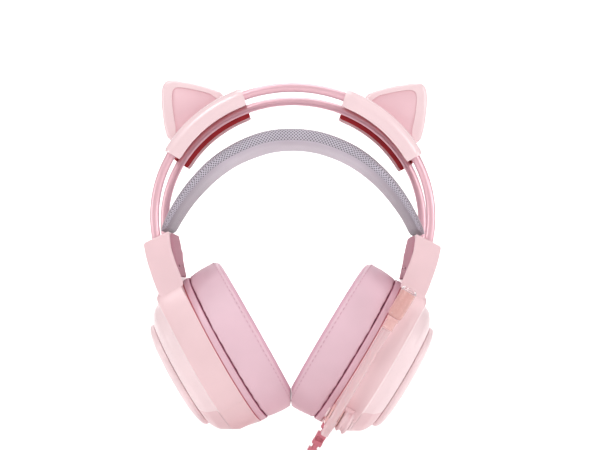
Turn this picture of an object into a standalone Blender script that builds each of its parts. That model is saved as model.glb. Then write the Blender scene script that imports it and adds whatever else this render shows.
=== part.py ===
"""Gaming headset: two sprung rods carry a floating head pad, two cups, two clip-on ears and a microphone.

World frame: +Z up, the wearer faces -Y, and +X is the wearer's left. The origin is the middle of the
head pad's underside, where the headset rests on a head. Lengths are metres. The +X side is modelled;
the -X side is its mirror image, without the microphone and the cord.
"""

import math

import bmesh
import bpy
from mathutils import Matrix, Vector

GAP = 0.0003  # clearance between neighbouring pieces

# Headband rods: one ellipse seen from the front, two rods side by side
ROD_RADIUS = 0.0027
ROD_SIDE = 0.023
ROD_CENTRE_Z = -0.0437
ROD_HALF_WIDTH = 0.080
ROD_HALF_HEIGHT = 0.0745
ROD_END_ANGLE = math.radians(-23.7)

# Head pad: its top is an ellipse, and its underside meets the origin
PAD_HALF_DEPTH = 0.022
PAD_CENTRE_Z = -0.0929
PAD_HALF_WIDTH = 0.0845
PAD_HALF_HEIGHT = 0.1012
PAD_THICK, PAD_END_THICK = 0.0094, 0.0048
PAD_END_ANGLE = math.radians(23.6)

# Cup frame: x runs down the cup, z runs outward along its axis
CUP_TILT = math.radians(120)
CUP_ORIGIN = Vector((-0.00585, 0, -0.09583))
CUP_SIDES = 24
OVAL_EXTRA = 0.0098  # half height less half depth
CUSHION_HALF = 0.0485
CUSHION_HOLE = 0.0310
CUSHION_LEAN = 0.075  # the cushion is thicker at its front by this slope
CUP_HALF = 0.0482
CUSHION_FACE, CUSHION_BACK = 0.0302, 0.0500
BAFFLE_FACE, BAFFLE_BACK = 0.0503, 0.0545
PLATE_BACK = 0.0533
SEAM = 0.0548
CAP_SEAT = 0.0820
CAP_HALF = 0.0340
CAP_TOP = 0.0887
WALL = 0.0025
CHIN_Z = -0.1694
DRIVER_HOLE = 0.0203
BAFFLE_SCREW_X = 0.0347
CUP_SCREW_Z = 0.0615

# Neck of the housing's band: straight flanks from the block's width out to the oval
NECK_HALF_DEPTH = 0.0282
NECK_TOP = 0.0482
FLANK_LOW = Vector((-0.0150, 0.0365))  # where a flank touches the oval
NECK_BLEND = 14  # higher is a sharper corner

# Block at each end of the rods
BLOCK_HALF_DEPTH = 0.028
BLOCK_CAVITY_HALF = 0.0258
COVER_Y = (-0.0259, 0.0268)
CLAMP_ANGLE = math.radians(-18.5)  # of the clamp's middle on the rods' ellipse
TONGUE_X = (0.0749, 0.0764)
TONGUE_Z = (-0.0727, -0.0541)
TONGUE_HALF_DEPTH = 0.011

# Ears
CLIP_ARC = (math.radians(27.9), math.radians(68.5))
EAR_ARC = (math.radians(33.5), math.radians(61.5))
CLIP_TOP = 0.0048
CLIP_FRONT_LIP, CLIP_REAR_LIP = -0.0062, -0.0066
CLIP_HALF_DEPTH = 0.0278
EAR_Y = (-0.014, 0.0)
PANEL_DEPTH = 0.0016

# Microphone, in the cup frame
MIC_PIVOT = Vector((0.0378, -0.038, 0))
BOOM_Y, BOOM_Z = -0.0443, 0.0574
BOOM_RADIUS = 0.0024
BOOM_TAIL, BOOM_TOP = 0.050, -0.0193
HUB_Z = (0.0538, 0.0608)
BRACKET_Z = (0.0611, 0.0671)
HINGE_RADIUS = 0.0065
PIN_RADIUS = 0.0018

# Cord
CORD_RADIUS = 0.002
RELIEF_Y, RELIEF_Z = -0.016, 0.0585
RELIEF_TOP, RELIEF_END = 0.0464, 0.0710
STEM_RADIUS = 0.0022
FLOOR_Z = -0.2250
COIL_CENTRE = (-0.014, 0.012)
COIL_RADII = (0.016, 0.032)
COIL_Z = (FLOOR_Z + 0.0012, FLOOR_Z + 0.0132)
PLUG_Y = COIL_CENTRE[1] + 0.024

RIGHT, UP = Vector((1, 0, 0)), Vector((0, 0, 1))


# Scene, materials and general shapes


def clear_scene():
    for obj in list(bpy.data.objects):
        bpy.data.objects.remove(obj, do_unlink=True)


def new_collection(name):
    made = bpy.data.collections.new(name)
    bpy.context.scene.collection.children.link(made)
    return made


def finish(name, colour, roughness, metallic=0.0, transmission=0.0):
    made = bpy.data.materials.new(name)
    made.use_nodes = True
    shader = made.node_tree.nodes["Principled BSDF"]
    shader.inputs["Base Color"].default_value = (*colour, 1)
    shader.inputs["Roughness"].default_value = roughness
    shader.inputs["Metallic"].default_value = metallic
    shader.inputs["Transmission Weight"].default_value = transmission
    return made


clear_scene()
PARTS = new_collection("gaming_headset")
CUTTERS = new_collection("cutters")
PALE_PINK = finish("pale_pink_plastic", (0.86, 0.64, 0.67), 0.35)
INNER_PINK = finish("grey_pink_plastic", (0.58, 0.40, 0.44), 0.5)
ROSE = finish("rose_plastic", (0.72, 0.34, 0.42), 0.4)
ROD_PINK = finish("pink_enamel", (0.73, 0.35, 0.42), 0.2, metallic=0.3)
PAD_GREY = finish("lilac_mesh_fabric", (0.58, 0.54, 0.62), 0.9)
LEATHERETTE = finish("mauve_leatherette", (0.76, 0.56, 0.65), 0.5)
STEEL = finish("bright_steel", (0.62, 0.62, 0.64), 0.3, metallic=1.0)
DARK = finish("dark_mesh", (0.09, 0.07, 0.08), 0.7)
FROST = finish("frosted_pink", (0.86, 0.72, 0.76), 0.3, transmission=0.4)
PEACH = finish("peach_enamel", (0.75, 0.36, 0.31), 0.3)
CLEAR = finish("clear_cap", (0.95, 0.93, 0.93), 0.1, transmission=0.9)


def place(name, data, material, parent=None):
    """A new object of the headset."""
    made = bpy.data.objects.new(name, data)
    if data.materials:
        data.materials[0] = material
    else:
        data.materials.append(material)
    PARTS.objects.link(made)
    made.parent = parent
    return made


def as_cutter(obj):
    for holder in list(obj.users_collection):
        holder.objects.unlink(obj)
    CUTTERS.objects.link(obj)
    obj.hide_render = True
    obj.display_type = "WIRE"
    return obj


def boolean(obj, operation, *others):
    for other in others:
        step = obj.modifiers.new(other.name, "BOOLEAN")
        step.operation = operation
        step.solver = "EXACT"
        step.object = other
    return obj


def cut(obj, *cutters):
    return boolean(obj, "DIFFERENCE", *cutters)


def soften(obj, width, segments=2):
    bevel = obj.modifiers.new("soft_edges", "BEVEL")
    bevel.width = width
    bevel.segments = segments
    bevel.limit_method = "ANGLE"
    bevel.angle_limit = math.radians(40)
    return obj


def mesh_of(name, shape):
    bmesh.ops.recalc_face_normals(shape, faces=shape.faces)
    mesh = bpy.data.meshes.new(name)
    shape.to_mesh(mesh)
    shape.free()
    return mesh


def loft(name, sections, capped=True):
    """A closed body through sections of equally many points. Uncapped, the last section joins the first."""
    shape = bmesh.new()
    rings = [[shape.verts.new(point) for point in section] for section in sections]
    pairs = list(zip(rings, rings[1:]))
    if capped:
        shape.faces.new(rings[0])
        shape.faces.new(rings[-1])
    else:
        pairs.append((rings[-1], rings[0]))
    for ring, following in pairs:
        for i in range(len(ring)):
            shape.faces.new((ring[i - 1], ring[i], following[i], following[i - 1]))
    return mesh_of(name, shape)


def box(name, low, high, material, parent=None):
    """A box between two corners, with its own size in its mesh."""
    low, high = Vector(low), Vector(high)
    shape = bmesh.new()
    bmesh.ops.create_cube(shape, size=1)
    bmesh.ops.scale(shape, vec=high - low, verts=shape.verts)
    bmesh.ops.translate(shape, vec=(high + low) / 2, verts=shape.verts)
    return place(name, mesh_of(name, shape), material, parent)


def cylinder(name, radius, start, end, material, parent=None, sides=16):
    """A cylinder between two points."""
    start, end = Vector(start), Vector(end)
    shape = bmesh.new()
    bmesh.ops.create_cone(
        shape, cap_ends=True, segments=sides, radius1=radius, radius2=radius, depth=(end - start).length
    )
    made = place(name, mesh_of(name, shape), material, parent)
    made.rotation_euler = UP.rotation_difference(end - start).to_euler()
    made.location = (start + end) / 2
    return made


def turned(name, profile, material, parent=None, steps=16):
    """A turned body about its own Z. The profile, of (radius, z), runs down its outer side."""
    mesh = bpy.data.meshes.new(name)
    ring = profile[0][0] > 0
    edges = [(i, i + 1) for i in range(len(profile) - 1)] + ([(len(profile) - 1, 0)] if ring else [])
    mesh.from_pydata([(radius, 0, z) for radius, z in profile], edges, [])
    made = place(name, mesh, material, parent)
    screw = made.modifiers.new("turn", "SCREW")
    screw.steps = screw.render_steps = steps
    screw.use_merge_vertices = True
    screw.merge_threshold = 1e-5
    return made


def tube(name, points, radius, material, bevel_resolution=2):
    """A round tube through the points, with closed ends."""
    curve = bpy.data.curves.new(name, "CURVE")
    curve.dimensions = "3D"
    curve.bevel_depth = radius
    curve.bevel_resolution = bevel_resolution
    curve.use_fill_caps = True
    spline = curve.splines.new("POLY")
    spline.points.add(len(points) - 1)
    for point, co in zip(spline.points, points):
        point.co = (*co, 1)
    return place(name, curve, material)


def as_mesh(obj):
    """The curve object made into a mesh object, in the same place and under the same name."""
    graph = bpy.context.evaluated_depsgraph_get()
    mesh = bpy.data.meshes.new_from_object(obj.evaluated_get(graph))
    shape = bmesh.new()
    shape.from_mesh(mesh)
    bmesh.ops.remove_doubles(shape, verts=shape.verts, dist=1e-6)
    shape.to_mesh(mesh)
    shape.free()
    name, material, matrix = obj.name, obj.data.materials[0], obj.matrix_world.copy()
    bpy.data.objects.remove(obj, do_unlink=True)
    made = place(name, mesh, material)
    made.matrix_world = matrix
    return made


def plate(name, outline, low_y, high_y, material):
    """A flat outline of (x, z) points, thick from low_y to high_y."""
    curve = bpy.data.curves.new(name, "CURVE")
    curve.dimensions = "2D"
    curve.fill_mode = "BOTH"
    curve.extrude = (high_y - low_y) / 2
    spline = curve.splines.new("POLY")
    spline.points.add(len(outline) - 1)
    for point, (x, z) in zip(spline.points, outline):
        point.co = (x, z, 0, 1)
    spline.use_cyclic_u = True
    flat = place(name, curve, material)
    flat.rotation_euler.x = math.pi / 2
    flat.location.y = (low_y + high_y) / 2
    bpy.context.view_layer.update()
    return as_mesh(flat)


def twin(obj, name, axis):
    """A mirror image of the object across the plane through the origin that is normal to the axis."""
    bpy.context.view_layer.update()
    graph = bpy.context.evaluated_depsgraph_get()
    mesh = bpy.data.meshes.new_from_object(obj.evaluated_get(graph))
    made = place(name, mesh, obj.data.materials[0])
    made.matrix_world = Matrix.Scale(-1, 4, axis) @ obj.matrix_world
    return made


# Headband


def rod_point(angle, out=0.0, y=0.0):
    """A point at this angle on the rods' ellipse, moved out along its normal."""
    normal = Vector((math.cos(angle) / ROD_HALF_WIDTH, 0, math.sin(angle) / ROD_HALF_HEIGHT)).normalized()
    x = ROD_HALF_WIDTH * math.cos(angle)
    z = ROD_CENTRE_Z + ROD_HALF_HEIGHT * math.sin(angle)
    return Vector((x, y, z)) + out * normal


def rod_points(y, start, end, count):
    return [rod_point(start + (end - start) * i / count, 0, y) for i in range(count + 1)]


def make_rods():
    for name, y in (("front_rod", -ROD_SIDE), ("rear_rod", ROD_SIDE)):
        tube(name, rod_points(y, ROD_END_ANGLE, math.pi - ROD_END_ANGLE, 30), ROD_RADIUS, ROD_PINK)


def pad_section(angle):
    """A flat oval across the pad at this angle of its top ellipse."""
    across = abs(angle - math.pi / 2) / (math.pi / 2 - PAD_END_ANGLE)
    thick = PAD_THICK + (PAD_END_THICK - PAD_THICK) * across**2
    normal = Vector((math.cos(angle) / PAD_HALF_WIDTH, 0, math.sin(angle) / PAD_HALF_HEIGHT)).normalized()
    top = Vector((PAD_HALF_WIDTH * math.cos(angle), 0, PAD_CENTRE_Z + PAD_HALF_HEIGHT * math.sin(angle)))
    edge = thick / 2
    points = []
    for side in (1, -1):
        for turn in (60, 20, -20, -60):
            lean = math.radians(turn * side)
            y = side * (PAD_HALF_DEPTH - edge + edge * math.cos(lean))
            rise = edge * math.sin(lean) / math.sin(math.radians(60)) - edge
            points.append(top + normal * rise + Vector((0, y, 0)))
    return points


def make_pad():
    count = 22
    span = math.pi - 2 * PAD_END_ANGLE
    sections = [pad_section(PAD_END_ANGLE + span * i / count) for i in range(count + 1)]
    place("head_pad", loft("head_pad", sections), PAD_GREY)


def make_tongue():
    tongue = box(
        "right_pad_tongue",
        (TONGUE_X[0], -TONGUE_HALF_DEPTH, TONGUE_Z[0]),
        (TONGUE_X[1], TONGUE_HALF_DEPTH, TONGUE_Z[1]),
        ROD_PINK,
    )
    return [tongue]


# Cup


def cup_frame():
    frame = bpy.data.objects.new("right_cup_frame", None)
    PARTS.objects.link(frame)
    frame.location = CUP_ORIGIN
    frame.rotation_euler.y = CUP_TILT
    return frame


def chin(z):
    """How far down the cup its flat underside lies, at this distance along its axis."""
    return (CUP_ORIGIN.z - CHIN_Z + math.cos(CUP_TILT) * z) / math.sin(CUP_TILT)


def oval(half, z, inset=0.0, half_depth=None):
    """An oval across the cup, cut off by the chin."""
    half_depth = half - OVAL_EXTRA if half_depth is None else half_depth
    points = []
    for i in range(CUP_SIDES):
        turn = math.tau * i / CUP_SIDES
        points.append(Vector((min(half * math.cos(turn), chin(z) - inset), half_depth * math.sin(turn), z)))
    return points


def band_oval(half, z, grow=0.0):
    """The oval of the housing's band, whose upper part widens to carry the block."""
    scale = (half + grow) / CUP_HALF
    corner = Vector((-NECK_TOP, NECK_HALF_DEPTH))
    along = (corner - FLANK_LOW).normalized()
    points = []
    for point in oval(half + grow, z):
        reach = point.xy.length
        ray = Vector((point.x, abs(point.y))) / reach
        if point.x < FLANK_LOW.x * scale:
            to_top = NECK_TOP * scale / -ray.x
            to_flank = scale * FLANK_LOW.cross(along) / ray.cross(along)
            reach = (to_top**-NECK_BLEND + to_flank**-NECK_BLEND) ** (-1 / NECK_BLEND)
        points.append(Vector((reach * ray.x, math.copysign(reach * ray.y, point.y), z)))
    return points


def circle(radius, z):
    return oval(radius, z, half_depth=radius)


def pressed(points):
    """Makes a cushion's section thicker at its front, and keeps it on its own side of where the two meet."""
    for point in points:
        point.z += CUSHION_LEAN * point.y * min(1, (CUSHION_BACK - 0.004 - point.z) / 0.010)
        point.x = min(point.x, (CUP_ORIGIN.x + math.sin(CUP_TILT) * point.z - 2 * GAP) / -math.cos(CUP_TILT))
    return points


def make_cushion(cup):
    """A padded ring: round towards the ear, flat on the baffle."""
    outer, inner = CUSHION_HALF, CUSHION_HOLE
    soft = 0.0065
    sections = [oval(inner + 0.002, CUSHION_BACK), oval(outer - 0.001, CUSHION_BACK)]
    sections.append(oval(outer, CUSHION_BACK - 0.004))
    middle = CUSHION_FACE + soft
    for turn in (0, 35, 65, 90):
        lean = math.radians(turn)
        sections.append(pressed(oval(outer - soft + soft * math.cos(lean), middle - soft * math.sin(lean))))
    for turn in (90, 55, 20):
        lean = math.radians(turn)
        sections.append(pressed(oval(inner + soft - soft * math.cos(lean), middle - soft * math.sin(lean))))
    return place("right_cushion", loft("right_cushion", sections, capped=False), LEATHERETTE, cup)


def make_baffle(cup, stem_cutter):
    collar = CUP_HALF - WALL - 2 * GAP
    sections = [
        oval(CUP_HALF, BAFFLE_FACE),
        oval(CUP_HALF, BAFFLE_BACK),
        oval(collar, BAFFLE_BACK),
        oval(collar, BAFFLE_BACK + 0.0035),
        oval(collar - 0.002, BAFFLE_BACK + 0.0035),
        oval(collar - 0.002, PLATE_BACK),
        circle(DRIVER_HOLE, PLATE_BACK),
        circle(DRIVER_HOLE, BAFFLE_FACE),
    ]
    baffle = place("right_baffle", loft("right_baffle", sections, capped=False), ROSE, cup)
    cutters = [stem_cutter]
    for name, x in (("upper", -BAFFLE_SCREW_X), ("lower", BAFFLE_SCREW_X)):
        bore = [(0, 0.060), (0.0016, 0.060), (0.0016, 0.0520), (0.0029, 0.0520), (0.0029, 0.049), (0, 0.049)]
        cutter = as_cutter(turned(f"baffle_bore_{name}", bore, DARK, cup, steps=12))
        cutter.location.x = x
        cutters.append(cutter)
    return cut(baffle, *cutters)


def make_baffle_screws(cup):
    profile = [(0, 0.0620), (0.0013, 0.0612), (0.0013, 0.0517)]
    profile += [(0.0025, 0.0517), (0.0025, 0.0507), (0, 0.0505)]
    screws = []
    for name, x in (("upper", -BAFFLE_SCREW_X), ("lower", BAFFLE_SCREW_X)):
        screw = turned(f"right_{name}_baffle_screw", profile, STEEL, cup, steps=8)
        screw.location.x = x
        screws.append(screw)
    return screws


def make_housing(cup, stem_cutter, cup_screw_cutter):
    """A shell with a broad band, a lower stepped shoulder and a ledge that seats the outer cap."""
    band = [(CUP_HALF, SEAM), (CUP_HALF, 0.0685), (CUP_HALF - 0.0010, 0.0710)]
    outside = [(0.0460, 0.0714), (0.0430, 0.0750), (0.0415, 0.0780), (0.0382, 0.0802), (0.0356, CAP_SEAT)]
    inside = [(0.0310, CAP_SEAT), (0.0310, 0.0795), (0.0360, 0.0785), (0.0390, 0.0750), (0.0425, 0.0695)]
    inside += [(CUP_HALF - WALL, 0.0665), (CUP_HALF - WALL, SEAM)]
    sections = [band_oval(half, z) for half, z in band] + [oval(half, z) for half, z in outside]
    sections += [oval(half, z, inset=WALL) for half, z in inside]
    housing = place("right_housing", loft("right_housing", sections, capped=False), PALE_PINK, cup)
    cutters = [stem_cutter, cup_screw_cutter]
    for name, x in (("upper", -BAFFLE_SCREW_X), ("lower", BAFFLE_SCREW_X)):
        post = cylinder(f"post_{name}", 0.0030, (x, 0, 0.0536), (x, 0, 0.0800), PALE_PINK, cup, sides=10)
        boolean(housing, "UNION", as_cutter(post))
        hole = cylinder(f"post_hole_{name}", 0.0016, (x, 0, 0.0500), (x, 0, 0.0630), PALE_PINK, cup, sides=12)
        cutters.append(as_cutter(hole))
    return cut(housing, *cutters)


def make_cap(cup):
    """The low dome on the outside, with a flat middle and a spigot that fits in the housing."""
    spigot = 0.0306
    seat = CAP_SEAT + GAP
    sections = [(spigot - 0.002, seat + 0.0010), (spigot - 0.002, 0.0790), (spigot, 0.0790), (spigot, seat)]
    sections += [(CAP_HALF, seat), (CAP_HALF, 0.0846), (0.0322, 0.0862), (0.0270, 0.0876), (0.0180, CAP_TOP)]
    ovals = [oval(half, z) for half, z in sections]
    return place("right_outer_cap", loft("right_outer_cap", ovals), ROSE, cup)


def make_driver(cup):
    """Frame behind the baffle, magnet in its back, diaphragm across its front and dust mesh in the baffle."""
    flange = PLATE_BACK + GAP
    frame = [(0.0115, 0.0640), (0.0185, 0.0590), (0.0195, 0.0552), (0.0230, 0.0552), (0.0230, flange)]
    frame += [(0.0190, flange), (0.0180, 0.0552), (0.0172, 0.0582), (0.0115, 0.0620)]
    magnet = [(0, 0.0660), (0.0100, 0.0660), (0.0110, 0.0650), (0.0110, 0.0585), (0, 0.0585)]
    diaphragm = [(0, 0.0562), (0.0060, 0.0558), (0.0120, 0.0546), (0.0170, 0.0550), (0.0170, 0.0544)]
    diaphragm += [(0.0120, 0.0540), (0.0060, 0.0552), (0, 0.0556)]
    mesh = [(0, 0.0518), (0.0200, 0.0518), (0.0200, 0.0508), (0, 0.0508)]
    return [
        turned("right_driver_frame", frame, DARK, cup, steps=14),
        turned("right_driver_magnet", magnet, STEEL, cup, steps=12),
        turned("right_driver_diaphragm", diaphragm, FROST, cup, steps=12),
        turned("right_driver_mesh", mesh, DARK, cup, steps=14),
    ]


def make_cup_screw(cup):
    """The screw that ties the cup's shell to the block above it."""
    screw = turned(
        "right_cup_screw",
        [(0, 0.0506), (0.0013, 0.0500), (0.0013, 0.0450), (0.0026, 0.0450), (0.0026, 0.0426), (0, 0.0426)],
        STEEL,
        cup,
        steps=8,
    )
    screw.rotation_euler.y = -math.pi / 2
    screw.location.z = CUP_SCREW_Z
    return screw


# Block


def make_block(cup, rod_cutters, cup_screw_cutter, clamp_screw_cutters):
    outline = [
        (0.0710, -0.0532),
        (0.0850, -0.0600),
        (0.0862, -0.0616),
        (0.0837, -0.0702),
        (0.0797, -0.0823),
        (0.0774, -0.0880),
        (0.0711, -0.0990),
        (0.0595, -0.0923),
        (0.0636, -0.0800),
        (0.0680, -0.0691),
        (0.0700, -0.0622),
    ]
    cavity = [
        (0.0600, -0.0562),
        (0.0699, -0.0562),
        (0.0822, -0.0623),
        (0.0807, -0.0707),
        (0.0769, -0.0817),
        (0.0760, -0.0835),
        (0.0600, -0.0744),
    ]
    block = plate("right_block", outline, -BLOCK_HALF_DEPTH, BLOCK_HALF_DEPTH, PALE_PINK)
    soften(block, 0.0012, segments=1)
    hollow = plate("block_cavity", cavity, -BLOCK_CAVITY_HALF, BLOCK_CAVITY_HALF, PALE_PINK)
    cup_room = [band_oval(CUP_HALF, z, grow=GAP) for z in (0.045, 0.072)]
    saddle = place("cup_room", loft("cup_room", cup_room), PALE_PINK, cup)
    recess = [
        (0.0500, -0.0500),
        (0.0716, -0.0500),
        (0.0716, -0.0560),
        (0.0712, -0.0622),
        (0.0697, -0.0691),
        (0.0665, -0.0796),
        (0.0648, -0.0860),
        (0.0500, -0.0860),
    ]
    ledge = plate("cover_recess", recess, COVER_Y[0] - GAP, BLOCK_HALF_DEPTH + 0.003, PALE_PINK)
    slot = box(
        "tongue_slot",
        (TONGUE_X[0] - 0.0006, -TONGUE_HALF_DEPTH - 0.0006, TONGUE_Z[0]),
        (TONGUE_X[1] + 0.0006, TONGUE_HALF_DEPTH + 0.0006, -0.050),
        PALE_PINK,
    )
    cutters = [as_cutter(obj) for obj in (hollow, saddle, slot, ledge)]
    return cut(block, *cutters, *rod_cutters, cup_screw_cutter, *clamp_screw_cutters)


def make_inner_cover():
    """A cover over the block's open side, thinner towards its rear edge."""
    inner = [
        (0.0705, -0.0536),
        (0.0690, -0.0590),
        (0.0673, -0.0670),
        (0.0650, -0.0755),
        (0.0643, -0.0786),
        (0.0651, -0.0793),
    ]
    outer = [(0.0686, -0.0692), (0.0689, -0.0635), (0.0708, -0.0600)]
    sections = []
    for y, thinner in ((COVER_Y[0], 0), (0.006, 0), (COVER_Y[1], 0.0007)):
        sections.append([Vector((x + thinner, y, z)) for x, z in inner[:-1]])
        sections[-1] += [Vector((x, y, z)) for x, z in [(inner[-1][0] + thinner, inner[-1][1]), *outer]]
    cover = place("right_inner_cover", loft("right_inner_cover", sections), INNER_PINK)
    slots = [
        box(f"cover_slot_{number}", (0.055, y - 0.003, -0.0735), (0.075, y + 0.003, -0.0721), DARK)
        for number, y in enumerate((-0.010, 0.010))
    ]
    return cut(cover, *[as_cutter(slot) for slot in slots])


def make_clamp(rod_cutters):
    """A clamp on the rear rod's end and its screw, twinned for the front rod."""
    middle = rod_point(CLAMP_ANGLE)
    frame = bpy.data.objects.new("clamp_frame", None)
    PARTS.objects.link(frame)
    frame.location = middle
    frame.rotation_euler.y = math.radians(20)
    clamp = box("right_rear_clamp", (-0.0042, 0.0132, -0.0048), (0.0042, 0.0255, 0.0048), DARK, frame)
    profile = [(0, 0.0066), (0.0012, 0.0060), (0.0012, -0.0045)]
    profile += [(0.0023, -0.0045), (0.0023, -0.0062), (0, -0.0062)]
    screw = turned("right_rear_clamp_screw", profile, STEEL, frame, steps=8)
    bore = cylinder("clamp_bore", 0.0015, (-0.008, 0.0166, 0), (0.0069, 0.0166, 0), DARK, frame, sides=12)
    screw.rotation_euler.y = math.pi / 2
    screw.location.y = 0.0166
    as_cutter(bore)
    cut(clamp, bore, rod_cutters[1])
    front_bore = as_cutter(twin(bore, "front_clamp_bore", Vector((0, 1, 0))))
    made = [clamp, screw]
    made += [twin(obj, obj.name.replace("rear", "front"), Vector((0, 1, 0))) for obj in (clamp, screw)]
    return made, [bore, front_bore]


# Ears


def clip_section(angle):
    """A channel over both rods: a top plate and two flanges."""
    inner_half = CLIP_HALF_DEPTH - 0.002
    inner_top = ROD_RADIUS + GAP
    corner = 0.0016
    outline = [
        (-CLIP_HALF_DEPTH, CLIP_FRONT_LIP),
        (-CLIP_HALF_DEPTH, CLIP_TOP - corner),
        (-CLIP_HALF_DEPTH + corner, CLIP_TOP),
        (CLIP_HALF_DEPTH - corner, CLIP_TOP),
        (CLIP_HALF_DEPTH, CLIP_TOP - corner),
        (CLIP_HALF_DEPTH, CLIP_REAR_LIP),
        (inner_half, CLIP_REAR_LIP),
        (inner_half, inner_top),
        (-inner_half, inner_top),
        (-inner_half, CLIP_FRONT_LIP),
    ]
    return [rod_point(angle, out, y) for y, out in outline]


def make_clip():
    count = 9
    start, end = CLIP_ARC
    sections = [clip_section(start + (end - start) * i / count) for i in range(count + 1)]
    return place("right_ear_clip", loft("right_ear_clip", sections), PALE_PINK)


def along_clip(arc, out, count=6):
    """Points (x, z) along the clip's top, from its outer to its inner end, this far above it."""
    start, end = arc
    points = [rod_point(start + (end - start) * i / count, CLIP_TOP + out) for i in range(count + 1)]
    return [(point.x, point.z) for point in points]


def make_ear():
    """An ear with a raised rim round an inlaid panel."""
    sides = [(0.0440, 0.0305), (0.0550, 0.0343), (0.0690, 0.0372), (0.0736, 0.0374), (0.0763, 0.0352)]
    sides += [(0.0778, 0.0233), (0.0766, 0.0113), (0.0745, 0.0025)]
    panel_sides = [(0.0520, 0.0288), (0.0660, 0.0317), (0.0700, 0.0305), (0.0716, 0.0270), (0.0700, 0.0130)]
    recess_arc = (EAR_ARC[0] + 0.07, EAR_ARC[1] - 0.07)
    ear = plate("right_ear", along_clip(EAR_ARC, GAP + 0.0001) + sides, *EAR_Y, PALE_PINK)
    soften(ear, 0.0012, segments=1)
    front = EAR_Y[0]
    recess = plate(
        "ear_recess", along_clip(recess_arc, 0.0028) + panel_sides, front - 0.002, front + PANEL_DEPTH, ROSE
    )
    cut(ear, as_cutter(recess))
    panel = plate(
        "right_ear_panel",
        along_clip(recess_arc, 0.0028) + panel_sides,
        front + 0.0004,
        front + PANEL_DEPTH - GAP,
        ROSE,
    )
    shrink_towards_middle(panel, 0.97)
    return [ear, panel]


def shrink_towards_middle(obj, factor):
    """Scales the mesh in its plane about its own middle."""
    corners = [vertex.co.copy() for vertex in obj.data.vertices]
    middle = sum(corners, Vector()) / len(corners)
    for vertex in obj.data.vertices:
        vertex.co.xy = middle.xy + (vertex.co.xy - middle.xy) * factor


# Microphone


def along_cup(obj, x, y, z):
    """Puts a turned body on the cup frame with its own Z up the cup."""
    obj.rotation_euler.y = -math.pi / 2
    obj.location = (x, y, z)
    return obj


def make_microphone(cup, cup_room):
    x, y = MIC_PIVOT.x, MIC_PIVOT.y
    bracket = cylinder(
        "mic_bracket", HINGE_RADIUS, (x, y, BRACKET_Z[0]), (x, y, BRACKET_Z[1]), PALE_PINK, cup, sides=20
    )
    arm = box("bracket_arm", (-0.0045, 0, BRACKET_Z[0]), (0.0045, 0.018, BRACKET_Z[1]), PALE_PINK, cup)
    arm.location = (x, y, 0)
    arm.rotation_euler.z = math.radians(20)
    pin_room = cylinder("pin_room", PIN_RADIUS + GAP, (x, y, 0.045), (x, y, 0.080), DARK, cup, sides=14)
    as_cutter(pin_room)
    boolean(bracket, "UNION", as_cutter(arm))
    cut(bracket, cup_room, pin_room)

    hub = cylinder("mic_hub", HINGE_RADIUS, (x, y, HUB_Z[0]), (x, y, HUB_Z[1]), PALE_PINK, cup, sides=20)
    sleeve_top, sleeve_end = (0.0300, BOOM_Y, BOOM_Z), (0.0455, BOOM_Y, BOOM_Z)
    sleeve = cylinder("hub_sleeve", 0.0033, sleeve_top, sleeve_end, PALE_PINK, cup)
    boom_room = cylinder(
        "boom_room", BOOM_RADIUS + GAP, (0.020, BOOM_Y, BOOM_Z), (0.055, BOOM_Y, BOOM_Z), DARK, cup, sides=14
    )
    boolean(hub, "UNION", as_cutter(sleeve))
    cut(hub, as_cutter(boom_room), pin_room)

    low, high = HUB_Z[0] - GAP, BRACKET_Z[1] + GAP
    pin_profile = [(0, high + 0.001), (0.0030, high + 0.001), (0.0030, high)]
    pin_profile += [(PIN_RADIUS, high), (PIN_RADIUS, low)]
    pin_profile += [(0.0030, low), (0.0030, low - 0.001), (0, low - 0.001)]
    pin = turned("mic_hinge_pin", pin_profile, STEEL, cup, steps=12)
    pin.location = (x, y, 0)

    long = BOOM_TAIL - BOOM_TOP
    boom_profile = [(0, long), (BOOM_RADIUS, long), (BOOM_RADIUS, 0.0015), (0.0016, 0.0004), (0, 0)]
    along_cup(turned("mic_boom", boom_profile, FROST, cup, steps=12), BOOM_TAIL, BOOM_Y, BOOM_Z)
    collar = [(0, 0.0074), (0.0036, 0.0074), (0.0036, 0.0050), (0.0030, 0.0046), (0.0030, GAP), (0, GAP)]
    along_cup(turned("mic_collar", collar, ROSE, cup, steps=14), BOOM_TOP, BOOM_Y, BOOM_Z)
    capsule = [(0, 0.0238), (0.0045, 0.0238), (0.0045, 0.0092), (0.0038, 0.0077), (0, 0.0077)]
    along_cup(turned("mic_capsule", capsule, PEACH, cup, steps=16), BOOM_TOP, BOOM_Y, BOOM_Z)
    clear = [(0, 0.0264), (0.0034, 0.0260), (0.0044, 0.0250), (0.0045, 0.0241), (0, 0.0241)]
    along_cup(turned("mic_clear_cap", clear, CLEAR, cup, steps=16), BOOM_TOP, BOOM_Y, BOOM_Z)


# Cord


def make_strain_relief(cup, cup_room):
    """A boot of soft rings on a thinner core, whose stem passes into the cup."""
    long = RELIEF_END - RELIEF_TOP
    wide, narrow, pitch, rib = 0.0035, 0.0026, 0.0052, 0.0034
    profile = [(0, long)]
    for i in range(5):
        top = long - pitch * i
        taper = 0.0001 * i
        profile += [(wide - taper, top), (wide - taper, top - rib)]
        if i < 4:
            profile += [(narrow, top - rib), (narrow, top - pitch)]
    profile += [(0, long - 4 * pitch - rib)]
    relief = along_cup(turned("strain_relief", profile, ROSE, cup, steps=12), RELIEF_END, RELIEF_Y, RELIEF_Z)
    stem = cylinder(
        "relief_stem",
        STEM_RADIUS,
        (0.0400, RELIEF_Y, RELIEF_Z),
        (0.0480, RELIEF_Y, RELIEF_Z),
        ROSE,
        cup,
        sides=12,
    )
    cut(relief, cup_room)
    return boolean(relief, "UNION", as_cutter(stem))


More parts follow.
